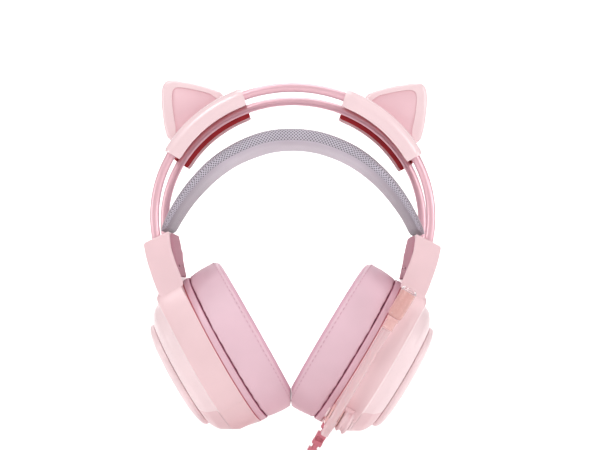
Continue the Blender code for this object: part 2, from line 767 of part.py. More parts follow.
def cord_route():
    """From the strain relief down to a tangent on top of the coil."""
    down = Vector((math.cos(CUP_TILT), 0, -math.sin(CUP_TILT)))
    out = Vector((math.sin(CUP_TILT), 0, math.cos(CUP_TILT)))
    exit_point = CUP_ORIGIN + down * (RELIEF_END + GAP) + out * RELIEF_Z + Vector((0, RELIEF_Y, 0))
    lying = COIL_Z[1] + GAP + CORD_RADIUS
    return [
        exit_point,
        exit_point + down * 0.006,
        Vector((0.0030, -0.0162, -0.1985)),
        Vector((-0.0014, -0.0168, -0.2046)),
        Vector((-0.0078, -0.0176, lying + 0.0006)),
        Vector((-0.0150, -0.0180, lying)),
    ]


def smooth(points, per_span):
    """Points on a Catmull-Rom curve through the given ones."""
    padded = [2 * points[0] - points[1]] + points + [2 * points[-1] - points[-2]]
    found = []
    for i in range(len(points) - 1):
        p0, p1, p2, p3 = padded[i : i + 4]
        for step in range(per_span):
            t = step / per_span
            found.append(
                p1
                + 0.5 * (p2 - p0) * t
                + 0.5 * (2 * p0 - 5 * p1 + 4 * p2 - p3) * t**2
                + 0.5 * (3 * p1 - p0 - 3 * p2 + p3) * t**3
            )
    return found + [points[-1]]


def make_cord():
    tube("cord", smooth(cord_route(), 2), CORD_RADIUS, ROSE)
    inner, outer = COIL_RADII
    low, high = COIL_Z
    round_off = 0.002
    profile = [
        (inner + round_off, high),
        (outer - round_off, high),
        (outer, high - round_off),
        (outer, low + round_off),
        (outer - round_off, low),
        (inner + round_off, low),
        (inner, low + round_off),
        (inner, high - round_off),
    ]
    coil = turned("cord_coil", profile, ROSE, steps=26)
    coil.location.x, coil.location.y = COIL_CENTRE

    strap = 0.0009
    hole = [(COIL_CENTRE[0] - outer - 0.0003, low - 0.0003), (COIL_CENTRE[0] - inner + 0.0010, high + 0.0003)]
    (left, bottom), (right, top) = hole
    y = COIL_CENTRE[1]
    tie_low, tie_high = (left - strap, y - 0.004, bottom - strap), (right + strap, y + 0.004, top + strap)
    tie = box("cord_tie", tie_low, tie_high, DARK)
    room = as_cutter(box("tie_room", (left, y - 0.01, bottom), (right, y + 0.01, top), DARK))
    cut(tie, room)

    lying = high + GAP + 0.0035
    body = [(0, 0.0220), (0.0032, 0.0220), (0.0035, 0.0205), (0.0035, 0.0075)]
    body += [(0.0026, 0.0060), (0.0024, 0), (0, 0)]
    contact = [(0, 0.0363), (0.0012, 0.0350), (0.00175, 0.0335), (0.00175, 0.0223), (0, 0.0223)]
    for name, profile, material in (("plug_body", body, ROSE), ("plug_contact", contact, STEEL)):
        piece = turned(name, profile, material, steps=12)
        piece.rotation_euler.y = math.pi / 2
        piece.location = (COIL_CENTRE[0] - 0.016, PLUG_Y, lying)


def main():
    make_rods()
    make_pad()
    cup = cup_frame()
    bpy.context.view_layer.update()
    rod_cutters = []
    for name, y in (("front_rod_room", -ROD_SIDE), ("rear_rod_room", ROD_SIDE)):
        points = rod_points(y, math.radians(-30), math.radians(-3), 6)
        rod_cutters.append(as_cutter(as_mesh(tube(name, points, ROD_RADIUS + GAP, DARK))))
    stem_cutter = as_cutter(
        cylinder(
            "stem_room",
            STEM_RADIUS + GAP,
            (0.036, RELIEF_Y, RELIEF_Z),
            (0.056, RELIEF_Y, RELIEF_Z),
            DARK,
            cup,
            12,
        )
    )
    cup_screw_cutter = as_cutter(
        cylinder(
            "cup_screw_room",
            0.0016,
            (-0.0535, 0, CUP_SCREW_Z),
            (-0.0435, 0, CUP_SCREW_Z),
            DARK,
            cup,
            12,
        )
    )
    clamps, clamp_bores = make_clamp(rod_cutters)
    block = make_block(cup, rod_cutters, cup_screw_cutter, clamp_bores)
    paired = [block, make_inner_cover(), make_cushion(cup), make_baffle(cup, stem_cutter), make_cap(cup)]
    housing = make_housing(cup, stem_cutter, cup_screw_cutter)
    paired += [housing, make_cup_screw(cup), make_clip()]
    paired += clamps + make_tongue() + make_baffle_screws(cup) + make_driver(cup) + make_ear()
    for obj in paired:
        twin(obj, obj.name.replace("right", "left"), RIGHT)
    make_microphone(cup, bpy.data.objects["cup_room"])
    make_strain_relief(cup, bpy.data.objects["cup_room"])
    make_cord()
    for mesh in bpy.data.meshes:
        mesh.shade_smooth()
        mesh.set_sharp_from_angle(angle=math.radians(35))


main()
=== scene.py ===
"""Looks of the gaming headset: camera, studio, cord and every visible surface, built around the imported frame.

Row frame, metres: +Z up, the wearer faces -Y, +X is the wearer's left. Names say right and left as seen
from the front. Pieces of the right side, +X, are modelled in place and mirrored to the left side. Most
sizes repeat the CAD part's own.
"""

from math import copysign, cos, pi, radians, sin, sqrt, tau

import bmesh
import bpy
from mathutils import Matrix, Vector, noise


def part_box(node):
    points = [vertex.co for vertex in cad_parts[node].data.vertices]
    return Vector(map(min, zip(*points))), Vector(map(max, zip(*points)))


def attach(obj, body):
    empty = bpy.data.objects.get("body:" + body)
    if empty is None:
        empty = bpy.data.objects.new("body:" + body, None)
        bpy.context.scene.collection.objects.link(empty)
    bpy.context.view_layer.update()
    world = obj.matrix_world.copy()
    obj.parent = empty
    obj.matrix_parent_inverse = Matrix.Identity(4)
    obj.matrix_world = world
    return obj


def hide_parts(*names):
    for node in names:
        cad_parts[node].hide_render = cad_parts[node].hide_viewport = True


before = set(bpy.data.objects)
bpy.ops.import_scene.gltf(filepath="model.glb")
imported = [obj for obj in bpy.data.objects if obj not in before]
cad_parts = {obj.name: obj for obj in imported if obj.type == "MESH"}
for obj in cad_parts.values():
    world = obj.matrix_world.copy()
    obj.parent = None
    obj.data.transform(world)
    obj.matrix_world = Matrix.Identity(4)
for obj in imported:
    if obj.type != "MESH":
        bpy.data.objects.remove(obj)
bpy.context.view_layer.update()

# Headband
ROD_RADIUS = 0.0027
ROD_SIDE = 0.023
ROD_CENTRE_Z, ROD_HALF_WIDTH, ROD_HALF_HEIGHT = -0.0437, 0.08, 0.0745
ROD_END_ANGLE = radians(-23.7)
PAD_HALF_DEPTH = 0.022
PAD_CENTRE_Z, PAD_HALF_WIDTH, PAD_HALF_HEIGHT = -0.0929, 0.0845, 0.1012
PAD_THICK, PAD_END_THICK = 0.0094, 0.0048
PAD_END_ANGLE = radians(23.6)

# Cup frame: x runs down the cup, z outward along its axis
CUP_TILT = radians(120)
CUP_ORIGIN = Vector((-0.00585, 0, -0.09583))
CUP = Matrix.Translation(CUP_ORIGIN) @ Matrix.Rotation(CUP_TILT, 4, "Y")
CORNER_TURN = radians(50.7)  # where the band's L-shaped corner stands on either side of the chin
CUP_TURNS = sorted(
    [tau * i / 144 for i in range(144)]
    + [side * (CORNER_TURN + step) % tau for side in (1, -1) for step in (0.0, 0.006)]
)
BELOW_CORNER = [min(turn, tau - turn) < CORNER_TURN + 0.003 for turn in CUP_TURNS]
OVAL_EXTRA = 0.0098
CUP_HALF = 0.0482
SEAM = 0.0548
CUSHION_LEAN = 0.075  # the cushion is thicker at its front by this slope
CHIN_Z = -0.1694
NECK_HALF_DEPTH, NECK_TOP = 0.0282, 0.0482
FLANK_LOW = Vector((-0.015, 0.0365))
NECK_BLEND = 14  # the power of the blend between the neck's top and its flanks

# Ears
CLIP_ARC = (radians(27.9), radians(68.5))
EAR_ARC = (radians(33.5), radians(61.5))
CLIP_TOP, CLIP_FRONT_LIP, CLIP_REAR_LIP, CLIP_HALF_DEPTH = 0.0048, -0.0062, -0.0066, 0.0278
EAR_FRONT, EAR_BACK = -0.014, 0.0

# Microphone, in the cup frame
PIVOT = Vector((0.0378, -0.038))
BOOM_Y, BOOM_Z, BOOM_RADIUS = -0.0443, 0.0574, 0.0024
HUB_LOW, HUB_LONG = 0.0538, 0.007
BRACKET_LOW, BRACKET_LONG = 0.0611, 0.006
BOOM_TAIL, BOOM_TOP = 0.05, -0.0193

# Cord
CORD_RADIUS = 0.002
RELIEF_Y, RELIEF_Z, RELIEF_TOP, RELIEF_END = -0.016, 0.0585, 0.0464, 0.071
FLOOR_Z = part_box("cord_tie")[0][2]
COIL_LOW, COIL_HIGH = (Vector(corner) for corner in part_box("cord_coil"))


# Shapes

CREASE = radians(38)
NEAR_AXIS = 0.0001


def linked(name, data):
    made = bpy.data.objects.new(name, data)
    bpy.context.scene.collection.objects.link(made)
    return made


def bezier(start, corner, end, t):
    return (1 - t) ** 2 * start + 2 * t * (1 - t) * corner + t**2 * end


def rounded(points, radius, steps=4, closed=False):
    """The 2D outline with each corner made a short curve. A third number is that corner's own radius."""
    found = []
    for i, point in enumerate(points):
        corner = Vector(point[:2])
        reach = point[2] if len(point) > 2 else radius
        if reach == 0 or (not closed and i in (0, len(points) - 1)):
            found.append(corner)
            continue
        before, after = Vector(points[i - 1][:2]), Vector(points[(i + 1) % len(points)][:2])
        start = corner + (before - corner).normalized() * min(reach, (before - corner).length * 0.49)
        end = corner + (after - corner).normalized() * min(reach, (after - corner).length * 0.49)
        found += [bezier(start, corner, end, step / steps) for step in range(steps + 1)]
    return found


def new_object(name, shape):
    """An object from a bmesh, facing out and shaded smooth with sharp creases."""
    bmesh.ops.recalc_face_normals(shape, faces=shape.faces)
    mesh = bpy.data.meshes.new(name)
    shape.to_mesh(mesh)
    shape.free()
    mesh.shade_smooth()
    mesh.set_sharp_from_angle(angle=CREASE)
    return linked(name, mesh)


def loft(name, sections, capped=True, matrix=None, paint=None):
    """A closed body through sections of equally many points, with UVs in metres.

    Uncapped, it closes on itself. paint(section, side) gives the material slot of each face.
    """
    shape = bmesh.new()
    uv_layer = shape.loops.layers.uv.new("UVMap")
    if matrix is not None:
        sections = [[matrix @ Vector(point) for point in section] for section in sections]
    rings = [[shape.verts.new(point) for point in section] for section in sections]
    count = len(rings[0])
    pairs = list(zip(rings, rings[1:])) + ([] if capped else [(rings[-1], rings[0])])
    girth = [0.0]
    middle = sections[len(sections) // 2]
    for i in range(count):
        girth.append(girth[-1] + (Vector(middle[i]) - Vector(middle[(i + 1) % count])).length)
    along = 0.0
    for number, (ring, following) in enumerate(pairs):
        step = (ring[0].co - following[0].co).length
        for i in range(count):
            after = (i + 1) % count
            face = shape.faces.new((ring[i], ring[after], following[after], following[i]))
            end = along + step
            corners = [(girth[i], along), (girth[i + 1], along), (girth[i + 1], end), (girth[i], end)]
            for loop, uv in zip(face.loops, corners):
                loop[uv_layer].uv = uv
            if paint:
                face.material_index = paint(number, i)
        along += step
    if capped:
        shape.faces.new(rings[0])
        shape.faces.new(rings[-1])
    return new_object(name, shape)


def circle_section(radius, z, steps):
    turns = [tau * i / steps for i in range(steps)]
    return [Vector((radius * cos(turn), radius * sin(turn), z)) for turn in turns]


def turned(name, profile, matrix=None, steps=48):
    """A turned body about Z. A profile of (radius, z) that starts on the axis ends on it too."""
    solid = profile[0][0] == 0
    sections = [circle_section(radius, z, steps) for radius, z in profile if radius > 0]
    return loft(name, sections, capped=solid, matrix=matrix)


def closed_profile(points, radius, steps=4, end=None):
    """A rounded profile for turned(), with flat ends that reach the axis, or with its tip at end."""
    start, end = points[0][1], points[-1][1] if end is None else end
    return [(0, start), *rounded([(NEAR_AXIS, start), *points, (NEAR_AXIS, end)], radius, steps), (0, end)]


def inset(corners, distance):
    """A closed outline's corners moved inwards, with their radii adjusted to stay concentric."""
    flat = [Vector(corner[:2]) for corner in corners]
    count = len(flat)
    area = sum(a.cross(b) for a, b in zip(flat, flat[1:] + flat[:1]))
    side = 1 if area > 0 else -1
    moved = []
    for i, point in enumerate(flat):
        before, after = (point - flat[i - 1]).normalized(), (flat[(i + 1) % count] - point).normalized()
        normals = [Vector((-edge.y, edge.x)) * side for edge in (before, after)]
        mitre = (normals[0] + normals[1]) / (1 + max(-0.8, normals[0].dot(normals[1])))
        radius = corners[i][2]
        if radius:
            turn = before.cross(after) * side
            radius = max(0.0001, radius - copysign(distance, turn))
        moved.append((*(point + mitre * distance), radius))
    return moved


def plate(name, corners, low_y, high_y, edge=0.0008, segments=4, steps=5):
    """A flat outline of (x, z, radius) corners with rounded edges, thick from low_y to high_y."""
    rims = [radians(90 * step / segments) for step in range(segments + 1)]
    rims = [(edge * (1 - cos(turn)), edge * (1 - sin(turn))) for turn in rims]
    levels = [(low_y + rise, back) for rise, back in rims]
    levels += [(high_y - rise, back) for rise, back in reversed(rims)]
    sections = []
    for y, back in levels:
        outline = rounded(inset(corners, back), 0, steps=steps, closed=True)
        sections.append([Vector((point.x, y, point.y)) for point in outline])
    return loft(name, sections)


def prism(name, outline, low_y, high_y):
    return loft(name, [[Vector((x, y, z)) for x, z in outline] for y in (low_y, high_y)])


def bake(obj):
    """Applies the object's modifiers and its place, so that its mesh holds world coordinates."""
    bpy.context.view_layer.update()
    graph = bpy.context.evaluated_depsgraph_get()
    mesh = bpy.data.meshes.new_from_object(obj.evaluated_get(graph))
    mesh.transform(obj.matrix_world)
    obj.modifiers.clear()
    obj.data = mesh
    obj.matrix_world = Matrix.Identity(4)
    mesh.shade_smooth()
    mesh.set_sharp_from_angle(angle=CREASE)
    return obj


def soften(obj, width, segments=3):
    bevel = obj.modifiers.new("edges", "BEVEL")
    bevel.width = width
    bevel.segments = segments
    bevel.limit_method = "ANGLE"
    bevel.angle_limit = radians(40)
    return bake(obj)


def combine(obj, operation, *others):
    """A Boolean with each of the others, which are then removed."""
    for other in others:
        step = obj.modifiers.new(other.name, "BOOLEAN")
        step.operation = operation
        step.solver = "EXACT"
        step.object = other
    bake(obj)
    for other in others:
        bpy.data.objects.remove(other, do_unlink=True)
    return obj


def box(name, low, high, matrix=None):
    low, high = Vector(low), Vector(high)
    rim = [(low.x, low.y), (high.x, low.y), (high.x, high.y), (low.x, high.y)]
    return loft(name, [[Vector((x, y, z)) for x, y in rim] for z in (low.z, high.z)], matrix=matrix)


def mirrored(obj, name):
    """The object's mirror image on the -X side."""
    mesh = obj.data.copy()
    mesh.transform(Matrix.Scale(-1, 4, (1, 0, 0)))
    mesh.flip_normals()
    return linked(name, mesh)


def tube(name, points, radius, resolution=6):
    curve = bpy.data.curves.new(name, "CURVE")
    curve.dimensions = "3D"
    curve.bevel_depth = radius
    curve.bevel_resolution = resolution
    curve.use_fill_caps = True
    spline = curve.splines.new("POLY")
    spline.points.add(len(points) - 1)
    for point, co in zip(spline.points, points):
        point.co = (*co, 1)
    spline.use_smooth = True
    return linked(name, curve)


def smooth(points, per_span):
    """Points on a Catmull-Rom curve through the given ones."""
    padded = [2 * points[0] - points[1]] + points + [2 * points[-1] - points[-2]]
    found = []
    for i in range(len(points) - 1):
        p0, p1, p2, p3 = padded[i : i + 4]
        for step in range(per_span):
            t = step / per_span
            cubic = (3 * p1 - p0 - 3 * p2 + p3) * t**3
            found.append(0.5 * (2 * p1 + (p2 - p0) * t + (2 * p0 - 5 * p1 + 4 * p2 - p3) * t**2 + cubic))
    return found + [points[-1]]


# Materials


class Nodes:
    """A short way to write a material's node tree."""

    def __init__(self, name):
        self.material = bpy.data.materials.new(name)
        self.material.use_nodes = True
        self.tree = self.material.node_tree
        self.shader = self.tree.nodes["Principled BSDF"]

    def add(self, kind, inputs=None, **settings):
        node = self.tree.nodes.new(kind)
        for key, value in settings.items():
            setattr(node, key, value)
        for key, value in (inputs or {}).items():
            self.feed(node.inputs[key], value)
        return node

    def feed(self, socket, value):
        if isinstance(value, bpy.types.NodeSocket):
            self.tree.links.new(value, socket)
        else:
            socket.default_value = value

    def place(self):
        return self.add("ShaderNodeTexCoord").outputs["Object"]

    def split_uv(self):
        uv = self.add("ShaderNodeUVMap", uv_map="UVMap").outputs["UV"]
        return self.add("ShaderNodeSeparateXYZ", {"Vector": uv}).outputs

    def math(self, operation, a, b=0.0):
        return self.add("ShaderNodeMath", {0: a, 1: b}, operation=operation).outputs[0]

    def noise(self, where, scale, detail=3.0, roughness=0.55):
        inputs = {"Vector": where, "Scale": scale, "Detail": detail, "Roughness": roughness}
        return self.add("ShaderNodeTexNoise", inputs).outputs["Fac"]

    def cells(self, where, scale, randomness=1.0, feature="F1"):
        inputs = {"Vector": where, "Scale": scale, "Randomness": randomness}
        return self.add("ShaderNodeTexVoronoi", inputs, feature=feature).outputs["Distance"]

    def ramp(self, value, start, end, low=0.0, high=1.0):
        inputs = {"Value": value, "From Min": start, "From Max": end, "To Min": low, "To Max": high}
        return self.add("ShaderNodeMapRange", inputs).outputs["Result"]

    def spread(self, value, low, high):
        """Noise, which mostly stays between 0.3 and 0.7, stretched from low to high."""
        return self.ramp(value, 0.3, 0.7, low, high)

    def mix(self, factor, first, second):
        made = self.add("ShaderNodeMix", data_type="RGBA")
        self.feed(made.inputs["Factor"], factor)
        self.feed(made.inputs["A"], (*first, 1) if isinstance(first, tuple) else first)
        self.feed(made.inputs["B"], (*second, 1) if isinstance(second, tuple) else second)
        return made.outputs["Result"]

    def drifting(self, drift, colour, low, high):
        """The colour, drifting between two shades of itself."""
        return self.mix(self.spread(drift, 0.0, 1.0), shade(colour, low), shade(colour, high))

    def bump(self, height, strength, distance, normal=None):
        inputs = {"Height": height, "Strength": strength, "Distance": distance}
        if normal is not None:
            inputs["Normal"] = normal
        return self.add("ShaderNodeBump", inputs).outputs["Normal"]

    def set(self, **inputs):
        for key, value in inputs.items():
            self.feed(self.shader.inputs[key.replace("_", " ")], value)


def shade(colour, factor):
    return tuple(min(1.0, channel * factor) for channel in colour)


def moulded(name, colour, roughness=0.35, coat=0.25, grain=0.15, sub=0.0, metallic=0.0, gloss=0.5):
    """Moulded plastic or enamel: slight drift in colour and gloss, and the faint ripple of a moulded skin."""
    made = Nodes(name)
    where = made.place()
    drift = made.noise(where, 35.0)
    ripple = made.noise(where, 900.0, 2.0)
    made.set(
        Base_Color=made.drifting(drift, colour, 0.96, 1.03),
        Roughness=made.spread(ripple, roughness * 0.85, roughness * 1.15),
        Normal=made.bump(ripple, grain, 0.00004),
        Coat_Weight=coat,
        Coat_Roughness=0.12,
        Subsurface_Weight=sub,
        Subsurface_Radius=(0.004, 0.002, 0.002),
        Metallic=metallic,
        Specular_IOR_Level=gloss,
    )
    return made.material


def clear_plastic(name, colour, roughness, ior=1.45):
    made = Nodes(name)
    where = made.place()
    ripple = made.noise(where, 300.0)
    made.set(
        Base_Color=made.drifting(ripple, colour, 0.98, 1.0),
        Roughness=made.spread(ripple, roughness, roughness * 1.4),
        Transmission_Weight=1.0,
        IOR=ior,
    )
    return made.material


def leatherette(name, colour):
    """Soft leatherette: pebbled grain, faint creases, and a satin sheen."""
    made = Nodes(name)
    where = made.place()
    pebbles = made.cells(where, 1300.0, feature="DISTANCE_TO_EDGE")
    creases = made.noise(where, 120.0, 6.0, 0.6)
    drift = made.noise(where, 22.0)
    grain = made.bump(pebbles, 0.35, 0.00008)
    made.set(
        Base_Color=made.drifting(drift, colour, 0.93, 1.04),
        Roughness=made.spread(creases, 0.42, 0.58),
        Normal=made.bump(creases, 0.25, 0.0003, grain),
        Sheen_Weight=0.25,
        Sheen_Roughness=0.4,
        Coat_Weight=0.08,
        Coat_Roughness=0.35,
    )
    return made.material


def mesh_fabric(name, strand, hole, pitch=0.0019):
    """Open knitted mesh: slanting strands cross in diamonds over darker holes."""
    made = Nodes(name)
    uv = made.split_uv()
    wave = []
    for sign in ("ADD", "SUBTRACT"):
        slant = made.math(sign, uv["X"], uv["Y"])
        wave.append(made.math("ABSOLUTE", made.math("SINE", made.math("MULTIPLY", slant, pi / pitch))))
    openness = made.math("MINIMUM", wave[0], wave[1])
    pits = made.ramp(openness, 0.25, 0.75)
    where = made.place()
    fibres = made.noise(where, 2500.0, 2.0)
    drift = made.noise(where, 40.0)
    soft = made.drifting(drift, strand, 0.92, 1.05)
    made.set(
        Base_Color=made.mix(pits, soft, hole),
        Roughness=made.spread(fibres, 0.8, 0.95),
        Normal=made.bump(fibres, 0.2, 0.0001, made.bump(pits, -0.9, 0.0006)),
        Sheen_Weight=0.3,
    )
    return made.material


def knit(name, colour, end_shade=None):
    """Fine smooth lining cloth, nearly plain from a distance, darkening towards its far ends as painted shade
    when an end shade is given.
    """
    made = Nodes(name)
    uv = made.split_uv()
    pitch = 0.0007
    ribs = made.math("SINE", made.math("MULTIPLY", uv["X"], tau / pitch))
    rows = made.math("SINE", made.math("MULTIPLY", uv["Y"], tau / pitch))
    weave = made.math("MULTIPLY", ribs, rows)
    where = made.place()
    drift = made.noise(where, 60.0)
    cloth = made.drifting(drift, colour, 0.94, 1.04)
    # painted shade: the cloth darkens towards the pad's ends beside the blocks
    if end_shade:
        far = made.math("ABSOLUTE", made.add("ShaderNodeSeparateXYZ", {"Vector": where}).outputs["X"])
        cloth = made.mix(made.ramp(far, 0.035, 0.076), cloth, end_shade)
    made.set(
        Base_Color=cloth,
        Roughness=made.spread(drift, 0.75, 0.9),
        Normal=made.bump(weave, 0.35, 0.00012),
        Sheen_Weight=0.35,
    )
    return made.material


def metal(name, colour, roughness):
    made = Nodes(name)
    where = made.place()
    brushed = made.noise(where, 1500.0, 2.0)
    made.set(
        Base_Color=made.mix(brushed, shade(colour, 0.92), colour),
        Roughness=made.spread(brushed, roughness * 0.8, roughness * 1.3),
        Normal=made.bump(brushed, 0.1, 0.00003),
        Metallic=1.0,
    )
    return made.material


def perforated(name, colour, hole):
    """Thin acoustic cloth with a regular grid of pinholes."""
    made = Nodes(name)
    where = made.place()
    cells = made.cells(where, 700.0, 0.15)
    dots = made.ramp(cells, 0.25, 0.45)
    made.set(
        Base_Color=made.mix(dots, hole, colour),
        Roughness=made.spread(cells, 0.75, 0.9),
        Normal=made.bump(dots, 0.6, 0.0002),
    )
    return made.material


PINK = {
    "housing": moulded("housing_plastic", (0.87, 0.62, 0.645), 0.36, coat=0.2),
    "block": moulded("block_plastic", (0.87, 0.62, 0.65), 0.38, coat=0.15),
    # painted highlight: a lighter copy of the housing pink, for the side light on the cap; the hinge pin's
    # cover shares it
    "lit_pink": moulded("cap_plastic", (0.95, 0.75, 0.77), 0.34, coat=0.25),
    # painted highlight: a paler copy of the housing pink for the housing's lit shoulder and edges
    "shoulder": moulded("shoulder_highlight_plastic", (0.95, 0.76, 0.78), 0.32, coat=0.3),
    # painted shade: the block's inner cover darkened for the shade on the headset's inner side
    "cover": moulded("cover_plastic", (0.52, 0.25, 0.31), 0.7, coat=0.0, gloss=0.1),
    "baffle": moulded("baffle_plastic", (0.78, 0.5, 0.58), 0.42, coat=0.15),
    # partly painted shadow: deep red for the seam's red line and the shadow in its gap
    "seam": moulded("seam_red_and_shadow", (0.66, 0.07, 0.1), 0.4, coat=0.2),
    "rod": moulded("rod_enamel", (0.9, 0.55, 0.62), 0.35, coat=0.8, grain=0.0, metallic=0.3),
    "clip": moulded("clip_plastic", (0.93, 0.71, 0.735), 0.24, coat=0.5),
    # painted shade: the clip's inside, under and behind the rods, darkened to a deep red
    "clip_inside_shade": moulded("clip_inside_shade", (0.54, 0.05, 0.06), 0.6, coat=0.0, gloss=0.2),
    "panel": moulded("ear_panel_plastic", (0.86, 0.56, 0.61), 0.34, coat=0.3),
    "capsule": moulded("capsule_enamel", (0.74, 0.4, 0.37), 0.26, coat=0.5, grain=0.06),
    "collar": moulded("collar_plastic", (0.84, 0.49, 0.47), 0.24, coat=0.5),
    "boom": moulded("boom_plastic", (0.78, 0.54, 0.56), 0.22, coat=0.5, grain=0.03, sub=0.3),
    # painted shade: dark red for the gap between cushion and ring
    "gap_shade": moulded("cushion_gap_shade", (0.5, 0.18, 0.26), 0.6, coat=0.0),
    "relief": moulded("relief_rubber", (0.6, 0.17, 0.22), 0.45, coat=0.1, grain=0.3),
    "cord": moulded("cord_jacket", (0.74, 0.34, 0.41), 0.5, coat=0.05, grain=0.4),
    "strap": moulded("tongue_strap", (0.74, 0.36, 0.42), 0.5, coat=0.05, grain=0.4),
    "plug": moulded("plug_plastic", (0.78, 0.42, 0.48), 0.4),
    "black": moulded("black_plastic", (0.035, 0.03, 0.032), 0.5, coat=0.0),
    "film": moulded("diaphragm_film", (0.75, 0.72, 0.7), 0.3),
}
CLEAR = clear_plastic("clear_tip", (0.98, 0.95, 0.95), 0.03)
CUSHION = leatherette("cushion_leatherette", (0.82, 0.56, 0.64))
# painted shade: a darker copy of the cushion leatherette for the strip beyond its seam
CUSHION_SHADED_FACE = leatherette("cushion_shaded_face", (0.74, 0.44, 0.54))
THREAD = knit("stitch_thread", (0.66, 0.36, 0.46))
PAD_MESH = mesh_fabric("pad_mesh", (0.66, 0.62, 0.7), (0.15, 0.135, 0.17))
# the lining's dark end colour is painted shade near the blocks
PAD_LINING = knit("pad_lining", (0.66, 0.62, 0.7), (0.27, 0.24, 0.28))
TIE = knit("tie_strap", (0.72, 0.4, 0.47))
STEEL = metal("bright_steel", (0.62, 0.62, 0.64), 0.28)
GOLD = metal("plated_contact", (0.8, 0.62, 0.34), 0.22)
CLOTH = perforated("driver_cloth", (0.42, 0.24, 0.3), (0.1, 0.05, 0.07))


# Placing pieces


def give(obj, *materials):
    """Materials in slot order. Faces keep the slot number that they were painted with."""
    if len(obj.data.materials):
        obj.data.materials.clear()
    for material in materials:
        obj.data.materials.append(material)
    return obj


def show(obj, body, slot, *nodes):
    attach(obj, body)
    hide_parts(*nodes)
    return obj


def show_pair(obj, body, slot, *nodes):
    """Shows the +X piece and its mirror image, with each right name made a left one."""
    twin = mirrored(obj, obj.name.replace("right", "left"))
    show(obj, body, slot, *nodes)
    show(twin, body.replace("right", "left"), slot, *[node.replace("right", "left") for node in nodes])
    return obj, twin


# Camera and studio


def make_camera():
    """Level with the cups' tops, with the lens shift that the framing needs."""
    data = bpy.data.cameras.new("camera")
    data.sensor_width = 36
    data.lens = 65
    data.shift_x = -0.006666667
    data.shift_y = 0.106666667
    camera = linked("camera", data)
    camera.matrix_world = (
        Matrix.Translation((0.007, -0.65, -0.0857))
        @ Matrix.Rotation(pi / 2, 4, "X")
        @ Matrix.Rotation(radians(0.67), 4, "Z")
    )
    bpy.context.scene.camera = camera


def area_light(name, location, target, size, power, colour=(1, 1, 1)):
    data = bpy.data.lights.new(name, "AREA")
    data.size = size
    data.energy = power
    data.color = colour
    light = linked(name, data)
    light.location = location
    light.rotation_euler = (Vector(target) - Vector(location)).to_track_quat("-Z", "Y").to_euler()


def make_studio():
    """A sheet of paper that curves up behind the object, and soft lights round it."""
    sweep = [(-2.4, 0.0), (1.1, 0.0)]
    for turn in map(radians, range(6, 90, 6)):
        sweep.append((1.1 + 1.2 * sin(turn), 1.2 - 1.2 * cos(turn)))
    sweep += [(2.3, 1.2), (2.3, 4.0)]
    shape = bmesh.new()
    rows = [[shape.verts.new((x, y, FLOOR_Z + z)) for x in (-4, 4)] for y, z in sweep]
    for low, high in zip(rows, rows[1:]):
        shape.faces.new((low[0], low[1], high[1], high[0]))
    floor = new_object("studio_floor", shape)
    paper = Nodes("studio_paper")
    where = paper.place()
    paper.set(
        Base_Color=paper.mix(paper.noise(where, 3.0), (0.93, 0.9, 0.9), (0.96, 0.94, 0.94)),
        Roughness=0.9,
    )
    give(floor, paper.material)

    bpy.context.scene.view_settings.view_transform = "Standard"
    world = bpy.data.worlds.new("studio_world")
    world.use_nodes = True
    world.node_tree.nodes["Background"].inputs["Color"].default_value = (1.0, 0.97, 0.97, 1)
    world.node_tree.nodes["Background"].inputs["Strength"].default_value = 0.3
    bpy.context.scene.world = world
    area_light("key", (-0.7, -1.3, 1.1), (0, 0, -0.05), 0.7, 9)
    area_light("fill", (0.9, -1.2, 0.5), (0, 0, -0.08), 0.6, 4.5)
    area_light("top", (0.0, -0.1, 1.4), (0, 0, 0), 0.9, 7)
    area_light("left_strip", (-1.3, -0.5, 0.15), (0, 0, -0.1), 0.5, 3.2)
    area_light("right_strip", (1.3, -0.5, 0.15), (0, 0, -0.1), 0.5, 3.6)
    area_light("backdrop", (0.0, 1.0, 1.3), (0, 2.3, 0.2), 1.6, 42)


# Headband


def on_arch(angle, half_width, half_height, centre_z):
    """A point of an elliptical arch, and the direction straight out from it."""
    x, z = cos(angle), sin(angle)
    point = Vector((half_width * x, 0, centre_z + half_height * z))
    return point, Vector((x / half_width, 0, z / half_height)).normalized()


def rod_point(angle, out=0.0, y=0.0):
    point, normal = on_arch(angle, ROD_HALF_WIDTH, ROD_HALF_HEIGHT, ROD_CENTRE_Z)
    return point + Vector((0, y, 0)) + out * normal


def make_rods():
    for name, y in (("front_rod", -ROD_SIDE), ("rear_rod", ROD_SIDE)):
        span = pi - 2 * ROD_END_ANGLE
        points = [rod_point(ROD_END_ANGLE + span * i / 120, 0, y) for i in range(121)]
        rod = give(tube(name + "_enamel", points, ROD_RADIUS, 8), PINK["rod"])
        show(rod, "headset", "rod_enamel", name)


def pad_outline(half_depth, thick):
    """Across the pad, (y, height) from the underside's rear edge round the front and back over the top."""
    low, crown = -thick, 0.0005
    rear = [(half_depth - 0.001, low + 0.0012), (half_depth - 0.006, low - 0.0001)]
    front = [(-half_depth + 0.006, low - 0.0001), (-half_depth + 0.001, low + 0.0012)]
    edge = [(-half_depth, low * 0.55), (-half_depth + 0.0012, -0.0012), (-half_depth + 0.0052, 0.0)]
    back = [(half_depth - 0.0052, 0.0), (half_depth - 0.0012, -0.0012), (half_depth, low * 0.55)]
    around = [*rear, (0.0, low - crown), *front, *edge, (0.0, crown), *back]
    return rounded(around, 0.0016, steps=3, closed=True)


